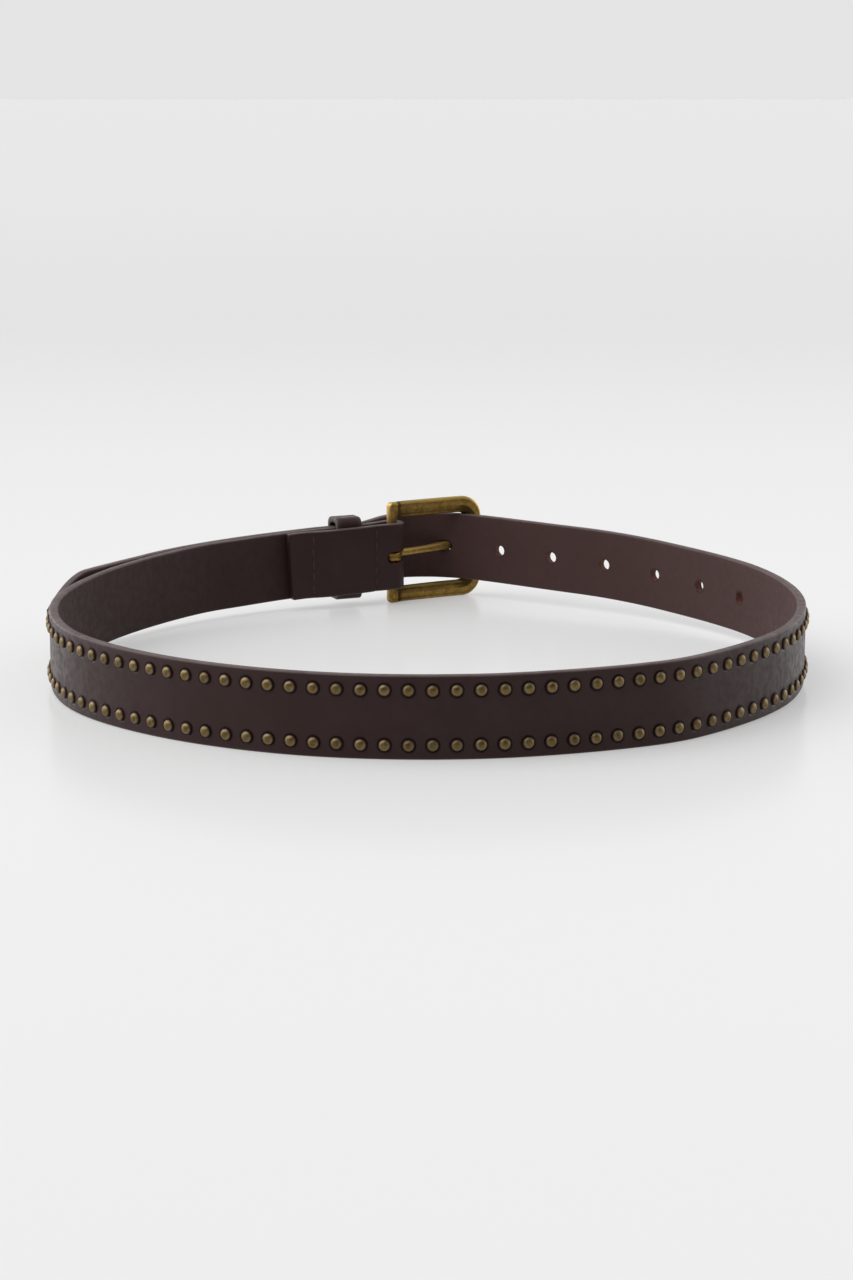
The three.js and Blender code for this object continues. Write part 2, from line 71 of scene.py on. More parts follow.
# Sizes of the buckle and the keeper
FRAME_HEIGHT = 39.0
FRAME_THICK = 3.5
FRAME_BEVEL = 1.1
FRAME_ARCH = 1.0
BAR_SPACING = 36.8
HEEL_BAR = 3.4
FAR_BAR = 5.0
RAIL = 6.15
HEEL_CORNER = 1.5
FAR_CORNER = 8.0
BUCKLE_TURN = 2.0
PRONG_WIDTH = 2.3
PRONG_SWELL = 0.2
PRONG_RAISED = 0.5
PRONG_SETTLE = 0.6
PRONG_THICK = 2.8
PRONG_TIP_THICK = 1.8
PRONG_OVERHANG = 2.0
PRONG_DROP = 1.2
PRONG_BEND = 1.8
PRONG_WIDENING = 0.3
RING_WALL = 1.4
RING_WIDTH = 3.3
SLOT_HEIGHT = 4.8
KEEPER_WIDTH = 10.0
KEEPER_WALL = 1.5
KEEPER_AT = 17.2
KEEPER_PLAY_BELOW = 1.1
KEEPER_PLAY_ABOVE = 1.9
KEEPER_SWELL = 0.5
KEEPER_CORNER = 2.6
GAP = 0.3
CROSSING_ANGLE = 30.0
WINDOW_RISE = 6.0
TIP_RISE = 9.4
BEND_ROOM = 3.0
HOLE_PLAY = 0.4
END_ROUND = 0.5
FRAME_ROUND = 1.3
FAR_INNER_CORNER = 5.0
BLOCK_STEP = 0.7
BLOCK_STEP_START = (0.1, 0.6)
BLOCK_STEP_END = (6.0, 16.0)
RING_ROUND = 0.45
PRONG_ROUND = 0.8
KNUCKLE = 0.25
KNUCKLE_PLACE = (0.6, 0.9)
KEEPER_ROUND = 0.45
KEEPER_EDGE = 1.2
STUD_SKIRT = 0.12
STUD_SUNK = 0.4
STUD_WANDER = 0.05

# Painted shade, painted highlight, dirt and wear of the brass, of 0 to 1, and where they lie. A place is a
# distance and a spread.
# Wear on bevels and rim faces, with a painted highlight where they look up
RIM_WEAR_AND_HIGHLIGHT = 0.7
BEVEL_WORN = 0.1
BORDER_FROM = 0.6
BORDER_DARK = 0.55
BORDER_LIGHTER = 0.3
BORDER_LIGHTER_OVER = (0.5, 4.0)
# Painted shade of the frame: on its inner side, most at the far bar; behind the heel bar's end block and along the
# rail beside it; and in the far inner corners
INSIDE_SHADE_STRENGTH = 0.35
FAR_INSIDE_SHADE_STRENGTH = 0.5
FAR_INSIDE_REACH = 2.2
BLOCK_SHADE_PLACE = (0.9, 0.8)
RAIL_SHADE_STRENGTH = 0.35
RAIL_SHADE_PLACE = (0.0, 7.0)
CORNER_SHADE_STRENGTH = 0.8
CORNER_SHADE_IN = 1.0
CORNER_SHADE_AREA = 6.0
GROOVE_DARK = 0.55
GROOVE_PLACE = (0.0, 0.5)
# Painted shade on the prong's shank: at its root by the ring and towards the strap's hole
ROOT_SHADE_PLACE = (0.9, 0.8)
HOLE_SHADE_STRENGTH = 0.6
HOLE_SHADE_REACH = 7.0
PRONG_WORN = 0.15
# Painted highlight along the top of the prong's shank, over an even wear
TOP_HIGHLIGHT = 0.75
TOP_HIGHLIGHT_FROM_TO = (0.45, 0.9)
# The studs are darker at the very base of each dome: partly tarnish, partly painted shade where it meets the
# leather
STUD_DARK_POWER = 8
# Painted highlight on the studs: lighter towards each dome's rim
STUD_RIM_HIGHLIGHT_FROM_TO = (0.35, 0.8)

# Stitch rows on the return: distance from the heel, depth and width of the pressed line, and how far
# the thread's middle is sunk
STITCH_ROWS = ((7.8, 0.38, 0.6, 0.5), (32.7, 0.15, 0.9, 0.27))
STITCH_COUNT = 5
STITCH_MARGIN = 1.2
STITCH_LENGTH = 3.9
STITCH_RADIUS = 0.42
STITCH_WANDER = 0.12
CUT_LEAN = 1.6
CUT_LEAN_OVER = 8.0
LAYER_EASE = 12.0

# Plan of the main run: x as a share of LOOP_WIDTH from the middle, y of LOOP_DEPTH from the front,
# and the lift off the surface as a share of the strap's in the middle of the buckle's window.
RUN = np.array([
    (-0.0642, 1.0000, 0.90), (-0.1043, 0.9780, 0.80), (-0.1600, 0.9530, 0.72), (-0.2136, 0.9272, 0.65),
    (-0.2743, 0.8826, 0.59), (-0.3462, 0.8207, 0.52), (-0.4555, 0.6483, 0.33), (-0.5000, 0.4525, 0.16),
    (-0.4545, 0.2577, 0.04), (-0.3219, 0.1065, 0.00), (-0.1417, 0.0162, 0.00), (0.0587, 0.0020, 0.00),
    (0.2520, 0.0599, 0.00), (0.3360, 0.1167, 0.01), (0.4565, 0.2770, 0.09), (0.5000, 0.4738, 0.23),
    (0.4636, 0.6716, 0.40), (0.3512, 0.8390, 0.63), (0.2743, 0.9060, 0.81), (0.1903, 0.9607, 0.91),
])
# The prong's line beyond its ring: shares of BAR_SPACING, and of its height at rest on the far bar.
PRONG = np.array([(0.4, 0.92), (0.755, 1.12), (1.0, 1.0)])
PRONG_END_RISE = 0.86
PRONG_HOLE_ROW = 1
PRONG_SLIM_FROM = 0.55
# The free end over the heel fold: shares of BAR_SPACING, and of the way from the hole to the full rise.
WINDOW = np.array([(0.6, 0.55), (0.32, 1.0), (0.08, 0.74)])
# The free end along the outside: shares of FLAP_REACH, and of TIP_RISE beyond touching.
FLAP = np.array([
    (0.07, 0.03), (0.21, 0.0), (0.42, 0.0), (0.60, 0.02),
    (0.72, 0.08), (0.83, 0.26), (0.92, 0.54), (1.0, 1.0),
])

FRAME_LIFT = (FRAME_HEIGHT - STRAP_WIDTH) / 2
BAR_ROUND = FRAME_BEVEL + math.hypot(HEEL_BAR / 2 - FRAME_BEVEL, FRAME_THICK / 2 - FRAME_BEVEL)
FOLD_RADIUS = BAR_ROUND + GAP + STRAP_THICK / 2
LAYER_PITCH = STRAP_THICK + GAP
KEEPER_LAYER = STRAP_THICK + KEEPER_WALL + 3 * GAP
KEEPER_BACK = KEEPER_AT + KEEPER_WIDTH / 2
KEEPER_FRONT = KEEPER_AT - KEEPER_WIDTH / 2
RING_INNER = BAR_ROUND + GAP
RING_OUTER = RING_INNER + RING_WALL
PRONG_REST = FRAME_THICK / 2 + GAP + PRONG_THICK / 2
HOLE_U = BAR_SPACING * PRONG[PRONG_HOLE_ROW, 0]
HOLE_N = PRONG_REST * PRONG[PRONG_HOLE_ROW, 1]
TAU = 2 * math.pi
random = np.random.default_rng(11)

# How finely curves and surfaces are divided, and the angles above which an edge is drawn sharp
SAMPLES = 60
RETURN_STEPS = 90
FOLD_STEPS = 26
RUN_STEPS = 860
TIP_STEPS = 41
PRONG_STEPS = 100
RAIL_STEPS = 90
RAIL_CROWD = 1.7
LEATHER_SHARP = 40.0
BRASS_SHARP = 60.0

# Finishes: heights and widths in millimetres, scales per metre, and shares
GRAIN_HEIGHT = 0.02
DENT_WIDTH = 0.75
DENT_DEPTH = 0.25
LEATHER_SPECULAR = 0.18
INNER_ROUGHER = 0.18
MOTTLING = 0.045
SHEEN_RANGE = 0.09
# Where along the strap, in metres from the heel, the painted light on its inner face comes in
INNER_LIT_FROM_TO = (0.38, 0.58)
LEATHER_ROUGHNESS = 0.42
GRAIN_SCALE = 900.0
MOTTLE_SCALE = 60.0
CELL_SHARE = 0.6
PORE_SHARE = 0.45
MOTTLES = (0.35, 0.65)
PATCHES = (0.3, 0.7)
LEAST_RUBBED = 0.6
# How dark the painted shade of a stud makes the ring round it
DENT_SHADE_STRENGTH = 0.85
SPOT_SCALE = 1500.0
CLOUD_SHARE = 0.3
FLECKS = (0.42, 0.62)
CLOUDS = (0.38, 0.62)
FLECK_BRIGHT = 0.35
CLOUD_DARK = 0.32
# How far wear and painted highlight brighten the brass
WEAR_AND_HIGHLIGHT_BRIGHT = 0.85
# How far the mask of dirt and painted shade darkens the brass
SHADE_AND_DIRT_DARK = 0.85
BRASS_ROUGHNESS = 0.37
FLECK_ROUGHER = 0.12
SHADE_AND_DIRT_ROUGHER = 0.25
TARNISH_FROM_TO = (0.3, 1.0)
TARNISH_DARK = 0.2
CAST_HEIGHT = 0.08
CAST_STRENGTH = 0.35
FIBRES = (0.35, 0.65)
FIBRE_HEIGHT = 0.1
FIBRE_STRENGTH = 0.6

# Display colours of 0 to 255. Leather: outer face, inner face, rubbed edge. Brass: bright for wear and painted
# highlight, body, dark for dirt and painted shade.
STRAP_COLOURS = ((51, 33, 32), (50, 34, 31), (92, 79, 78))
# Painted light: the strap's inner face turns to this paler colour towards its far end, where the inside of the
# loop faces the light
INNER_LIT_COLOUR = (68, 48, 46)
KEEPER_COLOURS = ((60, 42, 43), (34, 24, 24), (86, 74, 73))
# Painted shade in the pressed ring round each stud
DENT_SHADE_COLOUR = (28, 11, 11)
CUT_COLOURS = ((66, 29, 18), (112, 54, 33))
THREAD_COLOURS = ((54, 24, 19), (84, 40, 30))
FRAME_COLOURS = ((204, 172, 102), (146, 116, 58), (60, 44, 22))
PRONG_COLOURS = ((218, 184, 110), (160, 128, 62), (60, 44, 22))
STUD_COLOURS = ((139, 121, 97), (113, 93, 43), (34, 21, 15))

# The studio, in metres and in light
FLOOR_REACH = 60.0
FLOOR_COLOUR = (0.43, 0.43, 0.43, 1.0)
# Painted light: the floor's own glow, fading behind the belt
FLOOR_GLOW = 0.34
FLOOR_GLOW_BEHIND = 0.165
FLOOR_FADE = (-0.3, 1.5)
FLOOR_ROUGHNESS = 0.2
FLOOR_IOR = 1.15
OVERHEAD = 2.1
OVERHEAD_SPREAD = 70.0
OVERHEAD_FORWARD = 8.0
OVERHEAD_LEFT = 33.0
ROOM_LIGHT = 0.5
ROOM_DARK = 0.18
DARK_SIDE = (0.0, -0.95, 0.3)
DARK_RANGE = (0.3, 0.85)
# Bright walls beyond the ends and the back of the loop: direction and added light
GLOWS = (((-0.88, 0.47, 0.0), 1.8), ((0.88, 0.47, 0.0), 1.5), ((0.0, 1.0, 0.0), 0.28))
GLOW_RANGE = (0.62, 0.95)

# The camera of the photograph
CAMERA_PLACE = (2.2, -890.8, 193.6)
CAMERA_DOWN = 11.75
CAMERA_LENS = 74.53
CAMERA_SENSOR = 36.0
CAMERA_CLIP = (0.01, 50.0)


def smooth_step(value, start, end):
    """3t^2 - 2t^3 of the share t of the way from start to end, held at 0 and 1 outside."""
    share = np.clip((value - start) / (end - start), 0.0, 1.0)
    return share * share * (3.0 - 2.0 * share)


def bell(value, middle, spread):
    """exp(-t^2) of the distance t from the middle, counted in spreads."""
    return np.exp(-(((value - middle) / spread) ** 2))


class Line:
    """A centripetal Catmull-Rom curve through knots, read by distance along it."""

    def __init__(self, knots):
        padded = np.vstack([2 * knots[0] - knots[1], knots, 2 * knots[-1] - knots[-2]])
        a, b, c, d = padded[:-3], padded[1:-2], padded[2:-1], padded[3:]
        first, middle, last = (
            np.sqrt(np.linalg.norm(q - p, axis=1))[:, None] for p, q in ((a, b), (b, c), (c, d)))
        leave = ((b - a) / first - (c - a) / (first + middle) + (c - b) / middle) * middle
        arrive = ((c - b) / middle - (d - b) / (middle + last) + (d - c) / last) * middle
        t = np.linspace(0, 1, SAMPLES, endpoint=False)[None, :, None]
        b, c, leave, arrive = (v[:, None, :] for v in (b, c, leave, arrive))
        square, cube = 3 * (c - b) - 2 * leave - arrive, 2 * (b - c) + leave + arrive
        cubic = b + leave * t + square * t**2 + cube * t**3
        self.points = np.vstack([cubic.reshape(-1, knots.shape[1]), knots[-1:]])
        steps = np.linalg.norm(np.diff(self.points, axis=0), axis=1)
        self.distance = np.concatenate([[0.0], np.cumsum(steps)])
        self.length = self.distance[-1]

    def knot(self, i):
        """Distance along the line of its knot i."""
        return self.distance[i * SAMPLES]

    def at(self, distance):
        """Points at distances."""
        return np.stack([np.interp(distance, self.distance, v) for v in self.points.T], axis=-1)

    def heading(self, distance):
        """Unit plan directions of travel at distances."""
        slope = np.gradient(self.points[:, :2], self.distance, axis=0)
        plan = np.stack([np.interp(distance, self.distance, v) for v in slope.T], axis=-1)
        return plan / np.linalg.norm(plan, axis=-1, keepdims=True)

    def outward(self, distance):
        """Unit plan directions to the right of travel, as space vectors."""
        plan = self.heading(distance)
        return np.stack([plan[..., 1], -plan[..., 0], np.zeros_like(plan[..., 0])], axis=-1)


run_knots = RUN * (LOOP_WIDTH, LOOP_DEPTH, FRAME_LIFT)
run = Line(run_knots)


def turned(vector, degrees):
    """A plan vector turned about Z."""
    c, s = math.cos(math.radians(degrees)), math.sin(math.radians(degrees))
    return np.array([c * vector[0] - s * vector[1], s * vector[0] + c * vector[1], 0.0])


heel_point = run.at(0.0)
axis_u = turned(-np.append(run.heading(0.0), 0.0), BUCKLE_TURN)
axis_n = turned(run.outward(0.0), BUCKLE_TURN)
heel_axis = (heel_point - axis_n * FOLD_RADIUS) * (1, 1, 0)


def in_buckle(u, n, z):
    """Loop points of the buckle's own u (heel bar to far bar), n (outwards) and z."""
    u, n, z = (np.asarray(v, float)[..., None] for v in (u, n, z))
    return heel_axis + u * axis_u + n * axis_n + z * np.array([0.0, 0.0, 1.0])


FULL_RISE = FOLD_RADIUS + LAYER_PITCH + WINDOW_RISE
FAR_PASS = math.hypot(FAR_BAR, FRAME_THICK) / 2 + GAP + STRAP_THICK / 2
crossing = math.radians(CROSSING_ANGLE)
pass_u, pass_n = BAR_SPACING - FAR_PASS * math.cos(crossing), -FAR_PASS * math.sin(crossing)
window_u = np.concatenate([[pass_u, HOLE_U], WINDOW[:, 0] * BAR_SPACING])
window_n = np.concatenate([[pass_n, HOLE_N], HOLE_N + (FULL_RISE - HOLE_N) * WINDOW[:, 1]])
window_knots = in_buckle(window_u, window_n, np.full(len(window_u), FRAME_LIFT))
flap_at = FLAP[:, 0] * FLAP_REACH
flap_knots = run.at(flap_at) + run.outward(flap_at) * (LAYER_PITCH + FLAP[:, 1:] * TIP_RISE)
whole = Line(np.vstack([run_knots, window_knots, flap_knots]))
prong_hole_at = whole.knot(len(RUN) + 1)
prong_line = Line(np.vstack([
    [0.0, RING_OUTER - PRONG_THICK / 2],
    PRONG * (BAR_SPACING, PRONG_REST),
    [BAR_SPACING + FAR_BAR / 2 + PRONG_OVERHANG, PRONG_END_RISE * PRONG_REST],
]))


def layer_distance(distance):
    """How far the return's middle lies inside the main run's: round the bar, past the keeper, then flat."""
    closing = smooth_step(distance, 0.0, KEEPER_FRONT - BEND_ROOM)
    before = 2 * FOLD_RADIUS + (KEEPER_LAYER - 2 * FOLD_RADIUS) * closing
    past = KEEPER_BACK + BEND_ROOM
    flat = smooth_step(distance, past, past + LAYER_EASE)
    return before + (LAYER_PITCH - before) * flat


def grid_faces(rows, columns, closed_rows=False, closed_columns=True):
    """Quads of a grid of points numbered row by row."""
    r = np.arange(rows if closed_rows else rows - 1)
    c = np.arange(columns if closed_columns else columns - 1)
    r, c = np.meshgrid(r, c, indexing="ij")
    r2, c2 = (r + 1) % rows, (c + 1) % columns
    corners = (r * columns + c, r2 * columns + c, r2 * columns + c2, r * columns + c2)
    return np.stack(corners, axis=-1).reshape(-1, 4)


def repeated(quads, count, size):
    """The faces of count alike shapes of size points each."""
    return (quads[None] + (np.arange(count) * size)[:, None, None]).reshape(-1, 4)


def put(name, data):
    """A new object of the data, linked to the scene."""
    thing = bpy.data.objects.new(name, data)
    bpy.context.collection.objects.link(thing)
    return thing


def make_piece(name, points, quads, material, slot, attributes=None, sharp=LEATHER_SHARP):
    """One object from loop points in millimetres and quads, welded at its poles, with smooth shading."""
    points = np.asarray(points, float).reshape(-1, 3)
    mesh = bpy.data.meshes.new(name)
    mesh.from_pydata(((points + LOOP_ORIGIN) * MM).tolist(), [], np.asarray(quads).tolist())
    for label, values in (attributes or {}).items():
        layer = mesh.attributes.new(label, "FLOAT", "POINT")
        layer.data.foreach_set("value", np.asarray(values, np.float32).ravel())
    edit = bmesh.new()
    edit.from_mesh(mesh)
    bmesh.ops.remove_doubles(edit, verts=edit.verts, dist=1e-6)
    bmesh.ops.dissolve_degenerate(edit, edges=edit.edges, dist=1e-7)
    bmesh.ops.recalc_face_normals(edit, faces=edit.faces)
    edit.to_mesh(mesh)
    edit.free()
    mesh.materials.append(material)
    mesh.shade_smooth()
    mesh.set_sharp_from_angle(angle=math.radians(sharp))
    piece = put(name, mesh)
    if slot:
        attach(piece, "root")
    return piece


def rounded_section(arc=5, flat=10, face=0):
    """Signs and directions of a rounded rectangle: a point is ka*(half_a - radius) + ca*radius across,
    and kb*(half_b - radius) + cb*radius up, with the corner arcs and the faces across a and b divided."""
    ka, kb, ca, cb = [], [], [], []
    for sign_a, sign_b, start in ((1, 1, 0.0), (-1, 1, 0.25), (-1, -1, 0.5), (1, -1, 0.75)):
        turn = (start + np.linspace(0, 0.25, arc)) * TAU
        ka.append(np.full(arc, float(sign_a)))
        kb.append(np.full(arc, float(sign_b)))
        ca.append(np.cos(turn))
        cb.append(np.sin(turn))
        if sign_a * sign_b < 0:
            continue_up = np.linspace(sign_b, -sign_b, flat + 2)[1:-1]
            side = float(sign_a)
            ka.append(np.full(flat, side))
            kb.append(continue_up)
            ca.append(np.full(flat, side))
            cb.append(np.zeros(flat))
        else:
            ka.append(np.linspace(sign_a, -sign_a, face + 2)[1:-1])
            kb.append(np.full(face, float(sign_b)))
            ca.append(np.zeros(face))
            cb.append(np.full(face, float(sign_b)))
    return tuple(np.concatenate(v) for v in (ka, kb, ca, cb))


def strap_stations():
    """Middle points of the strap's lower edge from the return's cut end to the tip, the share of the
    half width there, the distance along the strap from the heel (negative on the return), and how
    much the fold's outer face is thinned."""
    back = np.linspace(RETURN_LENGTH - END_ROUND, 0.0, RETURN_STEPS)[:-1]
    returning = run.at(back) - run.outward(back) * layer_distance(back)[:, None]
    angle = np.linspace(-0.5, 0.5, FOLD_STEPS)[:-1] * math.pi
    lift = np.full(len(angle), heel_point[2])
    folding = in_buckle(FOLD_RADIUS * np.cos(angle), FOLD_RADIUS * np.sin(angle), lift)
    ahead = np.linspace(0.0, whole.length - TIP_LENGTH, RUN_STEPS)
    tip = whole.length - TIP_LENGTH + (TIP_LENGTH - END_ROUND) * np.linspace(0, 1, TIP_STEPS)[1:]
    going = whole.at(np.concatenate([ahead, tip]))
    before_tip = (whole.length - tip) / TIP_LENGTH
    end_share = TIP_END_HEIGHT / STRAP_WIDTH
    tip_share = end_share + (1 - end_share) * (1 - (1 - before_tip) ** 2)
    middle = np.vstack([returning, folding, going])
    middle[:, 2] = np.maximum(middle[:, 2], 0.0) + STRAP_WIDTH / 2
    share = np.concatenate([np.ones(len(back) + len(angle) + len(ahead)), tip_share])
    place = np.concatenate([-back, 0 * angle, ahead, tip])
    thinning = np.concatenate([0 * back, FOLD_THINNING * np.cos(angle), 0 * ahead, 0 * tip])
    return middle, share, place, thinning


def rounded_ends(middle, forward, rounding, steps=5):
    """Adds rings beyond both ends along a quarter round, sin(t) forward and 1 - cos(t) inwards, and
    then a ring drawn together to a point. Returns the new middles, the insets and the row numbers."""
    turn = np.linspace(0, math.pi / 2, steps)[1:]
    out, inset = rounding * np.sin(turn), rounding * (1 - np.cos(turn))
    out, inset = np.append(out, out[-1]), np.append(inset, np.inf)
    start = middle[0] - forward[0] * out[::-1, None]
    end = middle[-1] + forward[-1] * out[:, None]
    rows = np.concatenate([np.zeros(steps, int), np.arange(len(middle)), np.full(steps, len(middle) - 1)])
    insets = np.concatenate([inset[::-1], np.zeros(len(middle)), inset])
    return np.vstack([start, middle, end]), insets, rows


def drawn_section(section, half_a, half_b, radius, insets):
    """Across and up of a rounded section along a piece, drawn in by the insets."""
    ka, kb, ca, cb = section
    half_a = np.maximum(half_a - insets, 0.0)[:, None]
    half_b = np.maximum(half_b - insets, 0.0)[:, None]
    round_here = np.minimum(radius, 0.95 * np.minimum(half_a, half_b))
    return ka * (half_a - round_here) + ca * round_here, kb * (half_b - round_here) + cb * round_here


def strap_skin():
    """The strap: a rounded rectangle on edge carried along its middle line. A point is
    middle + side*across + Z*up, with the outer face pressed in along the stitches of the return."""
    middle, share, place, thinning = strap_stations()
    heading = np.gradient(middle[:, :2], axis=0)
    heading /= np.linalg.norm(heading, axis=1, keepdims=True)
    forward = np.column_stack([heading, np.zeros(len(heading))])
    middle, insets, rows = rounded_ends(middle, forward, END_ROUND)
    side = np.column_stack([forward[rows, 1], -forward[rows, 0], np.zeros(len(rows))])
    share, place = share[rows], place[rows]
    half_thick, half_width = STRAP_THICK / 2 + 0 * share, STRAP_WIDTH / 2 * share
    section = rounded_section(flat=22)
    across, up = drawn_section(section, half_thick, half_width, STRAP_ROUND, insets)
    across -= (across > 0) * thinning[rows][:, None]
    for row_at, depth, width, _ in STITCH_ROWS:
        across -= (across > 0) * depth * bell(place, -row_at, width)[:, None]
    lean = CUT_LEAN * smooth_step(-place, RETURN_LENGTH - CUT_LEAN_OVER, RETURN_LENGTH)
    drawn = lean[:, None] * (0.5 - up / STRAP_WIDTH) ** 2
    points = (middle[:, None, :] + side[:, None, :] * across[..., None]
              + forward[rows][:, None, :] * drawn[..., None])
    points[..., 2] += up
    half = half_width[:, None]
    edge = smooth_step(np.abs(up), half - EDGE_BAND[0], half - EDGE_BAND[1])
    outer = np.clip(across / (STRAP_THICK / 2), -1, 1) * 0.5 + 0.5
    along = np.repeat(place[:, None], up.shape[1], axis=1)
    quads = grid_faces(*up.shape)
    attributes = {"edge": edge, "outer": outer, "along": along * MM, "across": up * MM}
    return points, quads, attributes


def rounded_loop(low_x, high_x, low_y, high_y, low_round, high_round, corner=12, straight=26, crowd=1.0):
    """A rectangle with its own rounding at the low-x and the high-x corners, as points in order. Along
    x the points are set at t^crowd of the way from the low end."""
    def line(a, b, towards=0):
        t = np.linspace(0, 1, straight, endpoint=False)
        if towards > 0:
            t = t**crowd
        if towards < 0:
            t = 1 - (1 - t) ** crowd
        return a + (b - a) * t[:, None]

    def arc(x, y, radius, start):
        turn = (start + np.linspace(0, 0.25, corner, endpoint=False)) * TAU
        return np.column_stack([x + radius * np.cos(turn), y + radius * np.sin(turn)])

    low_in, high_in = low_x + low_round, high_x - high_round
    bottom = line(np.array([low_in, low_y]), np.array([high_in, low_y]), 1)
    far = line(np.array([high_x, low_y + high_round]), np.array([high_x, high_y - high_round]))
    top = line(np.array([high_in, high_y]), np.array([low_in, high_y]), -1)
    near = line(np.array([low_x, high_y - low_round]), np.array([low_x, low_y + low_round]))
    return np.vstack([
        bottom, arc(high_in, low_y + high_round, high_round, 0.75),
        far, arc(high_in, high_y - high_round, high_round, 0.0),
        top, arc(low_in, high_y - low_round, low_round, 0.25),
        near, arc(low_in, low_y + low_round, low_round, 0.5),
    ])


def band(outer, inner, half_depth, radius):
    """A closed band between two loops: a rounded section carried round, as wide as the loops are
    apart. Returns plane points, depths, how far a point lies across, a mask of wear on its bevels and
    rim faces with a painted highlight where they face along the loops' second axis (up, on the frame),
    and a mask of the faces' borders along the bevels."""
    middle, reach = (outer + inner) / 2, (outer - inner) / 2
    half = np.linalg.norm(reach, axis=1)
    section = rounded_section(flat=4, face=9)
    across, depth = drawn_section(section, half, half_depth + 0 * half, radius, 0 * half)
    away = (reach / half[:, None])[:, None, :]
    plane = middle[:, None, :] + away * across[..., None]
    ka, _, ca, cb = section
    looks_up = np.clip(ca * away[..., 1], 0, 1)
    bevel = np.maximum(np.minimum(3 * np.abs(ca * cb), 1), RIM_WEAR_AND_HIGHLIGHT * (np.abs(ca) > 0.99))
    # Wear on all bevels and rims, with a painted highlight added where they look up
    worn = bevel * (BEVEL_WORN + (1 - BEVEL_WORN) * looks_up)
    to_border = np.clip((np.abs(ka) - BORDER_FROM) / (1 - BORDER_FROM), 0, 1)
    border = (np.abs(cb) > 0.99) * to_border + 0 * looks_up
    return plane, depth, across, worn, border


def circle(radius, count=72):
    """Points of a circle round the origin."""
    turn = np.linspace(0, TAU, count, endpoint=False)
    return radius * np.column_stack([np.cos(turn), np.sin(turn)])


def frame_surface():
    """The buckle's frame: a band round its window, arched outwards by 4s(1 - s) between the bars, and
    its inner face stepped back behind the heel bar's end blocks."""
    near, far = HEEL_BAR / 2, BAR_SPACING - FAR_BAR / 2
    outer = rounded_loop(
        -near, BAR_SPACING + FAR_BAR / 2, 0.0, FRAME_HEIGHT, HEEL_CORNER, FAR_CORNER,
        straight=RAIL_STEPS, crowd=RAIL_CROWD)
    inner = rounded_loop(
        near, far, RAIL, FRAME_HEIGHT - RAIL, HEEL_CORNER / 2, FAR_INNER_CORNER,
        straight=RAIL_STEPS, crowd=RAIL_CROWD)
    plane, depth, across, worn, border = band(outer, inner, FRAME_THICK / 2, FRAME_ROUND)
    u, z = plane[..., 0], plane[..., 1]
    beyond = u - near
    share = np.clip(beyond / (far - near), 0, 1)
    step = smooth_step(beyond, *BLOCK_STEP_START) * (1 - smooth_step(u, *BLOCK_STEP_END))
    n = depth + FRAME_ARCH * 4 * share * (1 - share) + (depth < 0) * BLOCK_STEP * step
    # Painted shade: on the frame's inner side, most at the far bar; behind the heel bar's end block and along the
    # rail beside it; and in the far inner corners
    at_far_bar = smooth_step(u, BAR_SPACING - FAR_INSIDE_REACH * FAR_BAR, BAR_SPACING - FAR_BAR)
    inside = (across < 0) * (1 - worn) * (INSIDE_SHADE_STRENGTH + FAR_INSIDE_SHADE_STRENGTH * at_far_bar)
    behind_block = bell(beyond, *BLOCK_SHADE_PLACE) + RAIL_SHADE_STRENGTH * bell(beyond, *RAIL_SHADE_PLACE)
    from_rail = np.minimum(z, FRAME_HEIGHT - z) - RAIL - CORNER_SHADE_IN
    in_corner = np.exp(-((u - far + CORNER_SHADE_IN) ** 2 + from_rail**2) / CORNER_SHADE_AREA)
    shaded = (behind_block * (beyond > 0) + CORNER_SHADE_STRENGTH * in_corner) * (depth < 0)
    # A dark line along the faces' borders beside the bevels, darkest along the bottom
    at_border = BORDER_DARK * border * (1 - BORDER_LIGHTER * smooth_step(z, *BORDER_LIGHTER_OVER))
    shade_and_dirt = np.clip(shaded + inside + at_border, 0, 1)
    return in_buckle(u, n, z), grid_faces(*depth.shape, closed_rows=True), {"worn": worn, "shade_and_dirt": shade_and_dirt}


def prong_place(u, n, z):
    """The prong's own u, n, z in the buckle: tilted about the heel bar so that it reaches its hole."""
    rise = PRONG_DROP * (np.maximum(u, 0) / HOLE_U) ** PRONG_BEND
    return in_buckle(u, n, z + rise + FRAME_HEIGHT / 2 - PRONG_DROP)


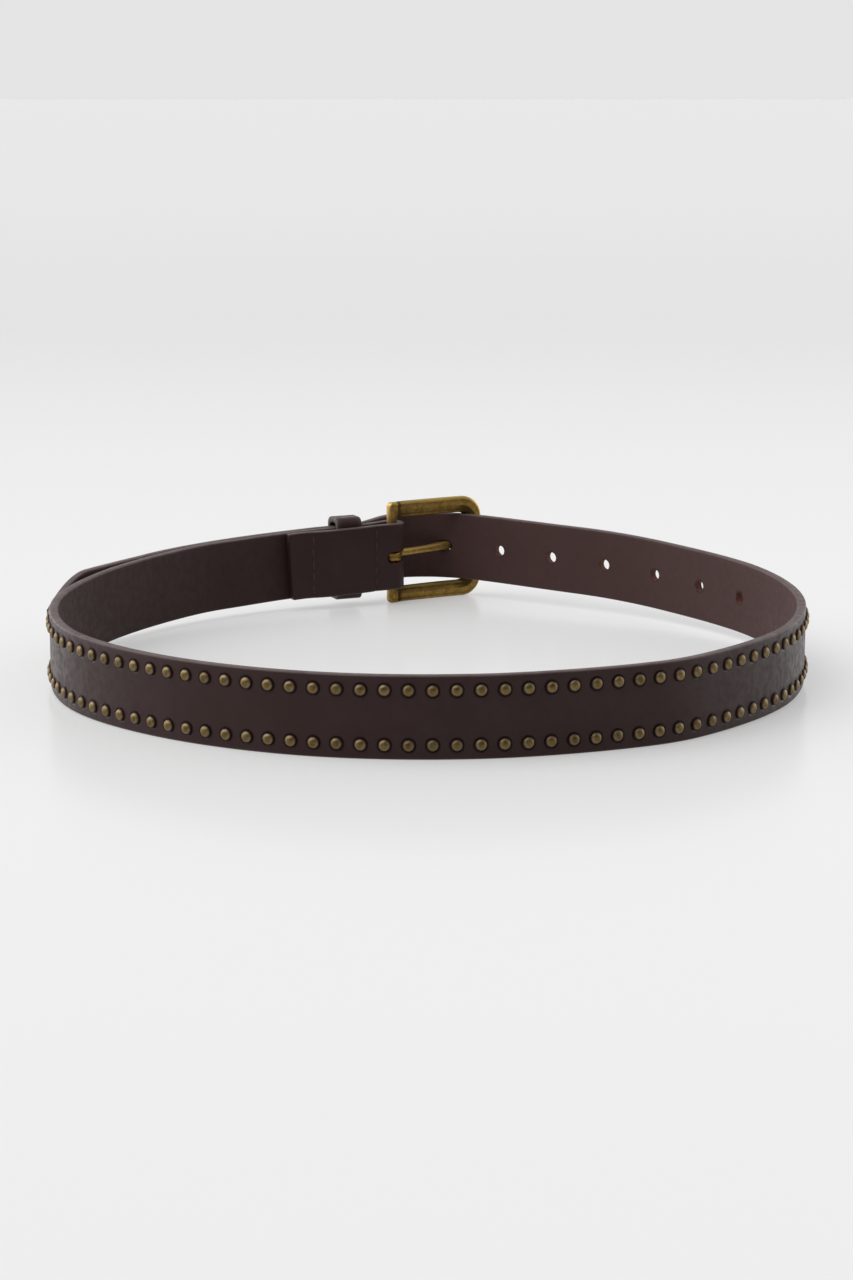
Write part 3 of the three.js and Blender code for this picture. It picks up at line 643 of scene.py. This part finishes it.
def prong_surface():
    """The prong: a ring round the heel bar, and a shank from the ring's outer side whose section
    narrows along its bent line, kept out of the ring's bore by n >= sqrt(bore^2 - u^2)."""
    plane, depth, across, worn, _ = band(
        circle(RING_OUTER), circle(RING_INNER), RING_WIDTH / 2, RING_ROUND)
    # A dark line round the middle of the ring's outer face
    groove = (across > 0) * bell(depth, *GROOVE_PLACE)
    ring = prong_place(plane[..., 0], plane[..., 1], depth)
    ring_faces = grid_faces(*depth.shape, closed_rows=True)
    at = np.linspace(0.0, prong_line.length - END_ROUND, PRONG_STEPS)
    line = prong_line.at(at)
    heading = prong_line.heading(at)
    forward = np.column_stack([heading, np.zeros(len(at))])
    slim = smooth_step(at / prong_line.length, PRONG_SLIM_FROM, 1)
    thick = (PRONG_THICK + (PRONG_TIP_THICK - PRONG_THICK) * slim) / 2
    knuckle = 1 + KNUCKLE * bell(at - RING_OUTER, *KNUCKLE_PLACE)
    widening = 1 + PRONG_WIDENING * smooth_step(at, HOLE_U / 2, HOLE_U)
    wide = (PRONG_WIDTH + PRONG_SWELL) / 2 * knuckle * widening
    middle, insets, rows = rounded_ends(np.column_stack([line, 0 * at]), forward, END_ROUND)
    section = rounded_section(flat=3)
    across, up = drawn_section(section, thick[rows], wide[rows], PRONG_ROUND, insets)
    side = np.column_stack([-forward[rows, 1], forward[rows, 0]])
    flat = middle[:, None, :2] + side[:, None, :] * across[..., None]
    bore = RING_INNER + RING_WALL / 2
    n = np.maximum(flat[..., 1], np.sqrt(np.maximum(bore**2 - flat[..., 0] ** 2, 0.0)))
    raised = PRONG_RAISED * (1 - PRONG_SETTLE * flat[..., 0] / HOLE_U)
    shank = prong_place(flat[..., 0], n, up + raised)
    shank_faces = grid_faces(*up.shape) + depth.size
    points = np.vstack([ring.reshape(-1, 3), shank.reshape(-1, 3)])
    # Painted shade at the shank's root by the ring and towards the strap's hole
    root = bell(at[rows] - RING_OUTER, *ROOT_SHADE_PLACE)
    near_hole = HOLE_SHADE_STRENGTH * smooth_step(at[rows], HOLE_U - HOLE_SHADE_REACH, HOLE_U)
    shade = np.repeat(np.maximum(root, near_hole), up.shape[1])
    shade_and_dirt = np.concatenate([GROOVE_DARK * groove.ravel(), shade])
    # Even wear on the shank, with a painted highlight towards its top
    top_highlight = PRONG_WORN + TOP_HIGHLIGHT * smooth_step(up, *TOP_HIGHLIGHT_FROM_TO)
    worn = np.concatenate([worn.ravel(), top_highlight.ravel()])
    return points, np.vstack([ring_faces, shank_faces]), {"worn": worn, "shade_and_dirt": shade_and_dirt}


def keeper_surface():
    """The keeper: a band round the layers, square to the strap where it stands."""
    low_n, high_n = -STRAP_THICK / 2 - 1.5 * GAP, STRAP_THICK / 2 + LAYER_PITCH + 1.5 * GAP
    low_z, high_z = -KEEPER_PLAY_BELOW, STRAP_WIDTH + KEEPER_PLAY_ABOVE
    inner = rounded_loop(
        low_n, high_n, low_z + KEEPER_SWELL, high_z - KEEPER_SWELL, KEEPER_CORNER, KEEPER_CORNER)
    outer = rounded_loop(
        low_n - KEEPER_WALL, high_n + KEEPER_WALL, low_z - KEEPER_WALL, high_z + KEEPER_WALL,
        KEEPER_CORNER, KEEPER_CORNER)
    plane, depth, across, _, _ = band(outer, inner, KEEPER_WIDTH / 2, KEEPER_ROUND)
    here, outward = run.at(KEEPER_AT), run.outward(KEEPER_AT)
    forward = np.append(run.heading(KEEPER_AT), 0.0)
    points = here + outward * plane[..., :1] + forward * depth[..., None]
    points[..., 2] += plane[..., 1]
    edge = smooth_step(np.abs(depth), KEEPER_WIDTH / 2 - KEEPER_EDGE, KEEPER_WIDTH / 2)
    attributes = {"edge": edge, "outer": (across > 0) * 1.0}
    return points, grid_faces(*depth.shape, closed_rows=True), attributes


def stud_places():
    """Distance along the whole strap of each pair of studs, at an even pitch."""
    first_hole = prong_hole_at - (HOLE_COUNT - 1) * HOLE_PITCH
    count = math.floor((first_hole - STUD_TO_HOLES - STUD_START) / STUD_PITCH) + 1
    return STUD_START + STUD_PITCH * np.arange(count)


def stud_surface(rings=8, sides=20):
    """Domes on the outer face: radius R*cos(t) and height H*sin(t), on a short skirt sunk in the
    leather. Points are face + outward*height + forward*x + Z*y."""
    at = np.repeat(stud_places(), 2)
    up = np.tile([STUD_MARGIN, STRAP_WIDTH - STUD_MARGIN], len(at) // 2)
    at = at + random.normal(0, STUD_WANDER, len(at))
    up = up + random.normal(0, STUD_WANDER, len(at))
    centre = whole.at(at)
    outward = whole.outward(at)
    forward = np.column_stack([whole.heading(at), 0 * at])
    centre[:, 2] = np.maximum(centre[:, 2], 0) + up
    centre += outward * STRAP_THICK / 2
    t = np.concatenate([[0.0, 0.0], np.linspace(0, math.pi / 2, rings)[1:]])
    radius = STUD_DIAMETER / 2 * np.cos(t)
    dome = STUD_SKIRT + (STUD_HEIGHT - STUD_SKIRT) * np.sin(t[2:])
    height = np.concatenate([[-STUD_SUNK, STUD_SKIRT], dome])
    turn = np.linspace(0, TAU, sides, endpoint=False)
    x, y = radius[:, None] * np.cos(turn), radius[:, None] * np.sin(turn)
    points = (centre[:, None, None] + outward[:, None, None] * height[:, None, None]
              + forward[:, None, None] * x[..., None])
    points[..., 2] += y
    quads = repeated(grid_faces(len(t), sides), len(at), len(t) * sides)
    base = np.broadcast_to((radius / (STUD_DIAMETER / 2))[None, :, None], points.shape[:3])
    tarnish = np.broadcast_to(random.uniform(0, 1, len(at))[:, None, None], points.shape[:3])
    # Painted highlight: lighter towards each dome's rim
    worn = smooth_step(base, *STUD_RIM_HIGHLIGHT_FROM_TO)
    # Darker at the very base of each dome: partly tarnish, partly painted shade where it meets the leather
    return points, quads, {"shade_and_dirt": base**STUD_DARK_POWER, "worn": worn, "tarnish": tarnish}


def stitch_surface(rings=9, sides=8):
    """Thread stitches on the return's face: spindles standing on end, radius R*sqrt(1 - s^4)."""
    row_at = np.repeat([row[0] for row in STITCH_ROWS], STITCH_COUNT)
    sunk = np.repeat([row[3] for row in STITCH_ROWS], STITCH_COUNT)
    pitch = (STRAP_WIDTH - 2 * STITCH_MARGIN) / STITCH_COUNT
    up = np.tile(STITCH_MARGIN + pitch * (np.arange(STITCH_COUNT) + 0.5), len(STITCH_ROWS))
    centre = run.at(row_at) - run.outward(row_at) * (
        layer_distance(row_at) + STRAP_THICK / 2 - sunk)[:, None]
    centre[:, 2] += up
    outward = run.outward(row_at)
    forward = np.column_stack([run.heading(row_at), 0 * row_at])
    centre += forward * random.normal(0, STITCH_WANDER, len(row_at))[:, None]
    centre += outward * random.normal(0, STITCH_WANDER / 2, len(row_at))[:, None]
    s = np.linspace(-1, 1, rings)
    radius = STITCH_RADIUS * np.sqrt(np.maximum(1 - s**4, 0))
    turn = np.linspace(0, TAU, sides, endpoint=False)
    x, y = radius[:, None] * np.cos(turn), radius[:, None] * np.sin(turn)
    points = (centre[:, None, None] + outward[:, None, None] * y[..., None]
              + forward[:, None, None] * x[..., None])
    points[..., 2] += (s * STITCH_LENGTH / 2)[None, :, None]
    return points, repeated(grid_faces(rings, sides), len(centre), rings * sides)


def pin(centre, direction, radius, length, sides=40):
    """A closed cylinder round a plan direction, as points and faces, for cutting a hole."""
    turn = np.linspace(0, TAU, sides, endpoint=False)
    across = np.array([-direction[1], direction[0], 0.0])
    ring = np.cos(turn)[:, None] * across + np.sin(turn)[:, None] * np.array([0.0, 0.0, 1.0])
    shrink = np.array([0.0, radius, radius, 0.0])[:, None, None]
    along = np.array([-1.0, -1.0, 1.0, 1.0])[:, None, None] * length / 2
    return centre + ring * shrink + direction * along, grid_faces(4, sides)


def cutter_surface():
    """The holes and the slot as closed cutting shapes: round pins square to the strap, one along the
    prong, and a round-ended block from the heel bar through the fold."""
    shapes = []
    for i in range(1, HOLE_COUNT):
        at = prong_hole_at - i * HOLE_PITCH
        centre = whole.at(at)
        centre[2] = max(centre[2], 0.0) + STRAP_WIDTH / 2
        shapes.append(pin(centre, whole.outward(at), HOLE_DIAMETER / 2, 3 * STRAP_THICK))
    hole_at = prong_line.knot(PRONG_HOLE_ROW + 1)
    lean = prong_line.heading(hole_at)
    direction = axis_u * lean[0] + axis_n * lean[1]
    radius = math.hypot(PRONG_THICK, PRONG_WIDTH) / 2 + HOLE_PLAY
    prong_hole = in_buckle(HOLE_U, HOLE_N, FRAME_LIFT + STRAP_WIDTH / 2)
    shapes.append(pin(prong_hole, direction, radius, 5 * STRAP_THICK))
    half = SLOT_HEIGHT / 2
    end = np.linspace(0.25, 0.75, 24) * TAU
    reach = RING_OUTER + 2 * GAP - half
    outline = np.vstack([
        [(2 * FOLD_RADIUS, -half), (2 * FOLD_RADIUS, half)],
        np.column_stack([-reach + half * np.cos(end), half * np.sin(end)])])
    depth = 2 * FOLD_RADIUS * np.array([-1.0, -1.0, 1.0, 1.0])[:, None]
    shrink = np.array([0.0, 1.0, 1.0, 0.0])[:, None]
    u, z = outline[:, 0] * shrink, outline[:, 1] * shrink
    slot = in_buckle(u, depth + 0 * u, z + FRAME_HEIGHT / 2 - PRONG_DROP)
    shapes.append((slot, grid_faces(4, len(outline))))
    points, quads, count = [], [], 0
    for shape, faces in shapes:
        points.append(shape.reshape(-1, 3))
        quads.append(faces + count)
        count += len(points[-1])
    return np.vstack(points), np.vstack(quads)


def cut(piece, cutter):
    """Takes the cutter's shapes out of the piece, with the cutter's finish on the cut walls."""
    step = piece.modifiers.new("cut", "BOOLEAN")
    step.operation = "DIFFERENCE"
    step.solver = "EXACT"
    step.object = cutter
    step.material_mode = "TRANSFER"
    shown = piece.evaluated_get(bpy.context.evaluated_depsgraph_get())
    mesh = bpy.data.meshes.new_from_object(shown)
    piece.modifiers.clear()
    piece.data = mesh
    mesh.set_sharp_from_angle(angle=math.radians(LEATHER_SHARP))
    bpy.data.objects.remove(cutter)


def linear(colour):
    """A display colour of 0 to 255 as the shader's linear colour."""
    value = np.array(colour) / 255.0
    return (*np.where(value <= 0.04045, value / 12.92, ((value + 0.055) / 1.055) ** 2.4), 1.0)


class Tree:
    """Short ways to add and join shader nodes."""

    def __init__(self, tree):
        self.tree = tree

    def feed(self, socket, value):
        """Joins a node's output to a socket, or sets the socket to a plain value."""
        if isinstance(value, bpy.types.NodeSocket):
            self.tree.links.new(value, socket)
        else:
            socket.default_value = value

    def add(self, kind, settings=None, **inputs):
        """A new node; an input is named by its label, or as _0, _1 by its place."""
        node = self.tree.nodes.new("ShaderNode" + kind)
        for key, value in (settings or {}).items():
            setattr(node, key, value)
        for key, value in inputs.items():
            label = int(key[1:]) if key[0] == "_" else key.replace("_", " ")
            self.feed(node.inputs[label], value)
        return node

    def mask(self, name):
        """A point attribute of the piece."""
        return self.add("Attribute", {"attribute_name": name}).outputs["Fac"]

    def blend(self, share, low, high):
        """The colour between two others."""
        return self.add("Mix", {"data_type": "RGBA"}, _0=share, _6=low, _7=high).outputs[2]

    def maths(self, operation, first, second=0.0, clamp=False):
        """One sum of two values."""
        return self.add("Math", {"operation": operation, "use_clamp": clamp}, _0=first, _1=second).outputs[0]

    def ramp(self, value, low, high, out_low=0.0, out_high=1.0):
        """A smooth step between two values, from one result to another."""
        return self.add("MapRange", {"interpolation_type": "SMOOTHSTEP"}, Value=value, From_Min=low,
                        From_Max=high, To_Min=out_low, To_Max=out_high).outputs["Result"]

    def group(self, tree, **inputs):
        """A node of a shared group."""
        return self.add("Group", {"node_tree": tree}, **inputs)

    def bump(self, shader, height, strength, distance):
        """Raises a shader's surface by a height."""
        relief = self.add("Bump", Height=height, Strength=strength, Distance=distance)
        self.feed(shader.inputs["Normal"], relief.outputs["Normal"])


def new_group(name, inputs, outputs):
    """An empty node group with named sockets; returns it with its tree, inputs and output node."""
    group = bpy.data.node_groups.new(name, "ShaderNodeTree")
    for label, kind, value in inputs:
        socket = group.interface.new_socket(label, in_out="INPUT", socket_type="NodeSocket" + kind)
        socket.default_value = value
    for label, kind in outputs:
        group.interface.new_socket(label, in_out="OUTPUT", socket_type="NodeSocket" + kind)
    source = group.nodes.new("NodeGroupInput")
    sink = group.nodes.new("NodeGroupOutput")
    return group, Tree(group), source.outputs, sink


def leather_grain():
    """Fine pebbled grain, faint pores and slow mottling, in the piece's own coordinates."""
    group, tree, given, sink = new_group(
        "leather grain", [("Cell", "Float", GRAIN_SCALE), ("Mottle", "Float", MOTTLE_SCALE)],
        [("Height", "Float"), ("Mottling", "Float"), ("Patches", "Float")])
    place = tree.add("TexCoord").outputs["Object"]
    cells = tree.add("TexVoronoi", {"feature": "SMOOTH_F1"}, Vector=place, Scale=given["Cell"], Smoothness=0.6)
    pore_scale = tree.maths("MULTIPLY", given["Cell"], PORE_SHARE)
    pores = tree.add("TexNoise", Vector=place, Scale=pore_scale, Detail=3.0).outputs["Fac"]
    slow = tree.add("TexNoise", Vector=place, Scale=given["Mottle"], Detail=4.0, Roughness=0.6)
    height = tree.maths("ADD", tree.maths("MULTIPLY", cells.outputs["Distance"], CELL_SHARE), pores)
    tree.feed(sink.inputs["Height"], height)
    tree.feed(sink.inputs["Mottling"], slow.outputs["Fac"])
    tree.feed(sink.inputs["Patches"], pores)
    return group


def stud_dents(first, last):
    """A mask of the rings pressed into the outer face round the studs, for their dents and painted shade:
    1 at a stud's rim, falling to 0 beyond it, from the distances along and across the strap to the nearest stud's
    place."""
    group, tree, given, sink = new_group(
        "stud dents", [("Rim", "Float", STUD_DIAMETER * MM / 2), ("Width", "Float", DENT_WIDTH * MM)],
        [("Ring", "Float")])
    along, across = tree.mask("along"), tree.mask("across")
    pitch, row_height = STUD_PITCH * MM, (STRAP_WIDTH / 2 - STUD_MARGIN) * MM
    turns = tree.maths("DIVIDE", tree.maths("SUBTRACT", along, first * MM - pitch / 2), pitch)
    beside = tree.maths("MULTIPLY", tree.maths("SUBTRACT", tree.maths("FRACT", turns), 0.5), pitch)
    above = tree.maths("SUBTRACT", tree.maths("ABSOLUTE", across), row_height)
    square = tree.maths("ADD", tree.maths("MULTIPLY", beside, beside), tree.maths("MULTIPLY", above, above))
    away = tree.maths("SUBTRACT", tree.maths("SQRT", square), given["Rim"])
    ring = tree.maths("SUBTRACT", 1.0, tree.ramp(away, 0.0, given["Width"]))
    started = tree.maths("GREATER_THAN", along, first * MM - pitch / 2)
    ended = tree.maths("LESS_THAN", along, last * MM + pitch / 2)
    outside = tree.maths("GREATER_THAN", tree.mask("outer"), 0.9)
    there = tree.maths("MULTIPLY", tree.maths("MULTIPLY", started, ended), outside)
    tree.feed(sink.inputs["Ring"], tree.maths("MULTIPLY", ring, there))
    return group


def brass_patina():
    """Mottled old brass: bright where it has wear and painted highlight, dark brown where it has dirt and painted
    shade.
    """
    bright, body, dark = (linear(colour) for colour in FRAME_COLOURS)
    group, tree, given, sink = new_group(
        "brass patina",
        [("Bright", "Color", bright), ("Body", "Color", body), ("Dark", "Color", dark),
         ("Worn", "Float", 0.0), ("Recess", "Float", 0.0), ("Spots", "Float", SPOT_SCALE)],
        [("Color", "Color"), ("Roughness", "Float"), ("Height", "Float")])
    place = tree.add("TexCoord").outputs["Object"]
    spots = tree.add("TexNoise", Vector=place, Scale=given["Spots"], Detail=5.0, Roughness=0.65)
    cloud_scale = tree.maths("MULTIPLY", given["Spots"], CLOUD_SHARE)
    clouds = tree.add("TexNoise", Vector=place, Scale=cloud_scale, Detail=3.0)
    fleck = tree.ramp(spots.outputs["Fac"], *FLECKS)
    cloud = tree.ramp(clouds.outputs["Fac"], *CLOUDS)
    flecked = tree.blend(tree.maths("MULTIPLY", fleck, FLECK_BRIGHT), given["Body"], given["Bright"])
    shaded = tree.blend(tree.maths("MULTIPLY", cloud, CLOUD_DARK), flecked, given["Dark"])
    worn = tree.blend(tree.maths("MULTIPLY", given["Worn"], WEAR_AND_HIGHLIGHT_BRIGHT, True), shaded, given["Bright"])
    dirty = tree.blend(tree.maths("MULTIPLY", given["Recess"], SHADE_AND_DIRT_DARK, True), worn, given["Dark"])
    rough = tree.maths("ADD", tree.maths("MULTIPLY", fleck, FLECK_ROUGHER), BRASS_ROUGHNESS)
    rough = tree.maths("ADD", rough, tree.maths("MULTIPLY", given["Recess"], SHADE_AND_DIRT_ROUGHER), True)
    tree.feed(sink.inputs["Color"], dirty)
    tree.feed(sink.inputs["Roughness"], rough)
    tree.feed(sink.inputs["Height"], spots.outputs["Fac"])
    return group


GRAIN = leather_grain()
DENTS = stud_dents(stud_places()[0], stud_places()[-1])
PATINA = brass_patina()


def new_material(name):
    """An empty material: its tree, its shader and the material."""
    material = bpy.data.materials.new(name)
    material.use_nodes = True
    material.node_tree.nodes.clear()
    tree = Tree(material.node_tree)
    shader = tree.add("BsdfPrincipled")
    tree.add("OutputMaterial", Surface=shader.outputs["BSDF"])
    return material, tree, shader


def leather(name, colours, inner_lit=None):
    """Smooth dark leather: outer and inner face colours, paler rubbed edges, mottling and fine grain.
    The strap's leather has painted light on its inner face, which turns paler towards its far end where the inside
    of the loop faces the light, and dark rings round studs that are painted shade of the studs in their pressed
    dents."""
    material, tree, shader = new_material(name)
    outer, inner, edge = (linear(colour) for colour in colours)
    grained = tree.group(GRAIN).outputs
    if inner_lit:
        # Painted light on the inner face: paler along the strap where the loop's inside faces the light
        inner = tree.blend(tree.ramp(tree.mask("along"), *INNER_LIT_FROM_TO), inner, linear(inner_lit))
    face = tree.blend(tree.mask("outer"), inner, outer)
    mottled = tree.blend(tree.ramp(grained["Mottling"], *MOTTLES, 0.0, MOTTLING), face, edge)
    rubbed = tree.maths("MULTIPLY", tree.mask("edge"), tree.ramp(grained["Mottling"], *PATCHES, LEAST_RUBBED, 1.0))
    colour = tree.blend(rubbed, mottled, edge)
    height = tree.maths("MULTIPLY", grained["Height"], GRAIN_HEIGHT * MM)
    if inner_lit:
        ring = tree.group(DENTS).outputs["Ring"]
        # Painted shade of each stud, darkening the ring pressed round it
        colour = tree.blend(tree.maths("MULTIPLY", ring, DENT_SHADE_STRENGTH), colour, linear(DENT_SHADE_COLOUR))
        height = tree.maths("SUBTRACT", height, tree.maths("MULTIPLY", ring, DENT_DEPTH * MM))
    smoothest, roughest = LEATHER_ROUGHNESS - SHEEN_RANGE, LEATHER_ROUGHNESS + SHEEN_RANGE
    rough = tree.ramp(grained["Patches"], *PATCHES, smoothest, roughest)
    inside = tree.maths("SUBTRACT", 1.0, tree.mask("outer"))
    rough = tree.maths("ADD", rough, tree.maths("MULTIPLY", inside, INNER_ROUGHER))
    tree.feed(shader.inputs["Base Color"], colour)
    tree.feed(shader.inputs["Roughness"], rough)
    tree.feed(shader.inputs["Specular IOR Level"], LEATHER_SPECULAR)
    tree.bump(shader, height, 1.0, 1.0)
    return material


def old_brass(name, colours, tarnished=False):
    """Antique brass: the patina group on a metal, with a fine cast surface."""
    material, tree, shader = new_material(name)
    bright, body, dark = (linear(colour) for colour in colours)
    # The mask of dirt and painted shade, with the studs' own tarnish added
    shade_dirt_mask = tree.mask("shade_and_dirt")
    if tarnished:
        tarnish = tree.ramp(tree.mask("tarnish"), *TARNISH_FROM_TO, 0.0, TARNISH_DARK)
        shade_dirt_mask = tree.maths("ADD", shade_dirt_mask, tarnish, True)
    aged = tree.group(PATINA, Bright=bright, Body=body, Dark=dark, Worn=tree.mask("worn"), Recess=shade_dirt_mask)
    tree.feed(shader.inputs["Base Color"], aged.outputs["Color"])
    tree.feed(shader.inputs["Roughness"], aged.outputs["Roughness"])
    tree.feed(shader.inputs["Metallic"], 1.0)
    tree.bump(shader, aged.outputs["Height"], CAST_STRENGTH, CAST_HEIGHT * MM)
    return material


def fibrous(name, colours, roughness, scale):
    """A fibrous matt finish between two colours, for thread and cut leather."""
    material, tree, shader = new_material(name)
    dark, light = (linear(colour) for colour in colours)
    place = tree.add("TexCoord").outputs["Object"]
    fibre = tree.add("TexNoise", Vector=place, Scale=scale, Detail=4.0).outputs["Fac"]
    tree.feed(shader.inputs["Base Color"], tree.blend(tree.ramp(fibre, *FIBRES), dark, light))
    tree.feed(shader.inputs["Roughness"], roughness)
    tree.bump(shader, fibre, FIBRE_STRENGTH, FIBRE_HEIGHT * MM)
    return material


strap_leather = leather("strap leather", STRAP_COLOURS, INNER_LIT_COLOUR)
keeper_leather = leather("keeper leather", KEEPER_COLOURS)
cut_leather = fibrous("cut leather", CUT_COLOURS, roughness=0.8, scale=1500.0)
thread = fibrous("thread", THREAD_COLOURS, roughness=0.75, scale=2500.0)
frame_brass = old_brass("frame brass", FRAME_COLOURS)
prong_brass = old_brass("prong brass", PRONG_COLOURS)
stud_brass = old_brass("stud brass", STUD_COLOURS, tarnished=True)

points, quads, attributes = strap_skin()
strap = make_piece("strap_leather", points, quads, strap_leather, "strap", attributes)
points, quads = cutter_surface()
cut(strap, make_piece("cutter", points, quads, cut_leather, None))
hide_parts("strap")

points, quads, attributes = stud_surface()
make_piece("studs", points, quads, stud_brass, "buckle_frame", attributes)

points, quads = stitch_surface()
make_piece("stitches", points, quads, thread, "strap")

points, quads, attributes = keeper_surface()
keeper = make_piece("keeper_band", points, quads, keeper_leather, "keeper_loop", attributes)
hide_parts("keeper_loop")

points, quads, attributes = frame_surface()
buckle = make_piece("buckle_rim", points, quads, frame_brass, "buckle_frame", attributes, BRASS_SHARP)
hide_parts("buckle_frame")

points, quads, attributes = prong_surface()
prong = make_piece("prong_and_ring", points, quads, prong_brass, "buckle_prong", attributes, BRASS_SHARP)
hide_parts("buckle_prong")


# The floor, with painted light: a faint glow of its own that softens the belt's shadows and fades behind the belt
floor_material, tree, shader = new_material("studio floor")
behind = tree.add("SeparateXYZ", Vector=tree.add("TexCoord").outputs["Object"]).outputs["Y"]
tree.feed(shader.inputs["Base Color"], FLOOR_COLOUR)
tree.feed(shader.inputs["Emission Color"], tree.ramp(behind, *FLOOR_FADE, FLOOR_GLOW, FLOOR_GLOW_BEHIND))
tree.feed(shader.inputs["Emission Strength"], 1.0)
tree.feed(shader.inputs["Roughness"], FLOOR_ROUGHNESS)
tree.feed(shader.inputs["IOR"], FLOOR_IOR)
floor_mesh = bpy.data.meshes.new("studio_floor")
corners = [(FLOOR_REACH * x, FLOOR_REACH * y, 0.0) for x, y in ((-1, -1), (1, -1), (1, 1), (-1, 1))]
floor_mesh.from_pydata(corners, [], [(0, 1, 2, 3)])
floor_mesh.materials.append(floor_material)
floor = put("studio_floor", floor_mesh)

# A broad soft light from above, and a pale room that is darker on the camera's side.
light = bpy.data.lights.new("overhead", "SUN")
light.energy = OVERHEAD
light.angle = math.radians(OVERHEAD_SPREAD)
overhead = put("overhead", light)
overhead.rotation_euler = (math.radians(OVERHEAD_FORWARD), -math.radians(OVERHEAD_LEFT), 0.0)


def room_strength(room):
    """The light of each direction of the room: darker on one side, with broad bright walls."""
    look = room.add("TexCoord").outputs["Generated"]

    def towards(direction):
        return room.add("VectorMath", {"operation": "DOT_PRODUCT"}, _0=look, _1=direction).outputs["Value"]

    strength = room.ramp(towards(DARK_SIDE), *DARK_RANGE, ROOM_LIGHT, ROOM_DARK)
    for direction, glow in GLOWS:
        strength = room.maths("ADD", strength, room.ramp(towards(direction), *GLOW_RANGE, 0.0, glow))
    return strength


world = bpy.data.worlds.new("studio")
bpy.context.scene.world = world
world.use_nodes = True
backdrop = world.node_tree.nodes["Background"]
room = Tree(world.node_tree)
room.feed(backdrop.inputs["Strength"], room_strength(room))
room.feed(backdrop.inputs["Color"], (1.0, 1.0, 1.0, 1.0))

camera_data = bpy.data.cameras.new("camera")
camera_data.sensor_width = CAMERA_SENSOR
camera_data.lens = CAMERA_LENS
camera_data.clip_start, camera_data.clip_end = CAMERA_CLIP
camera = put("camera", camera_data)
camera.location = np.array(CAMERA_PLACE) * MM
camera.rotation_euler = (math.radians(90 - CAMERA_DOWN), 0.0, 0.0)
bpy.context.scene.camera = camera
bpy.context.scene.view_settings.view_transform = "Standard"
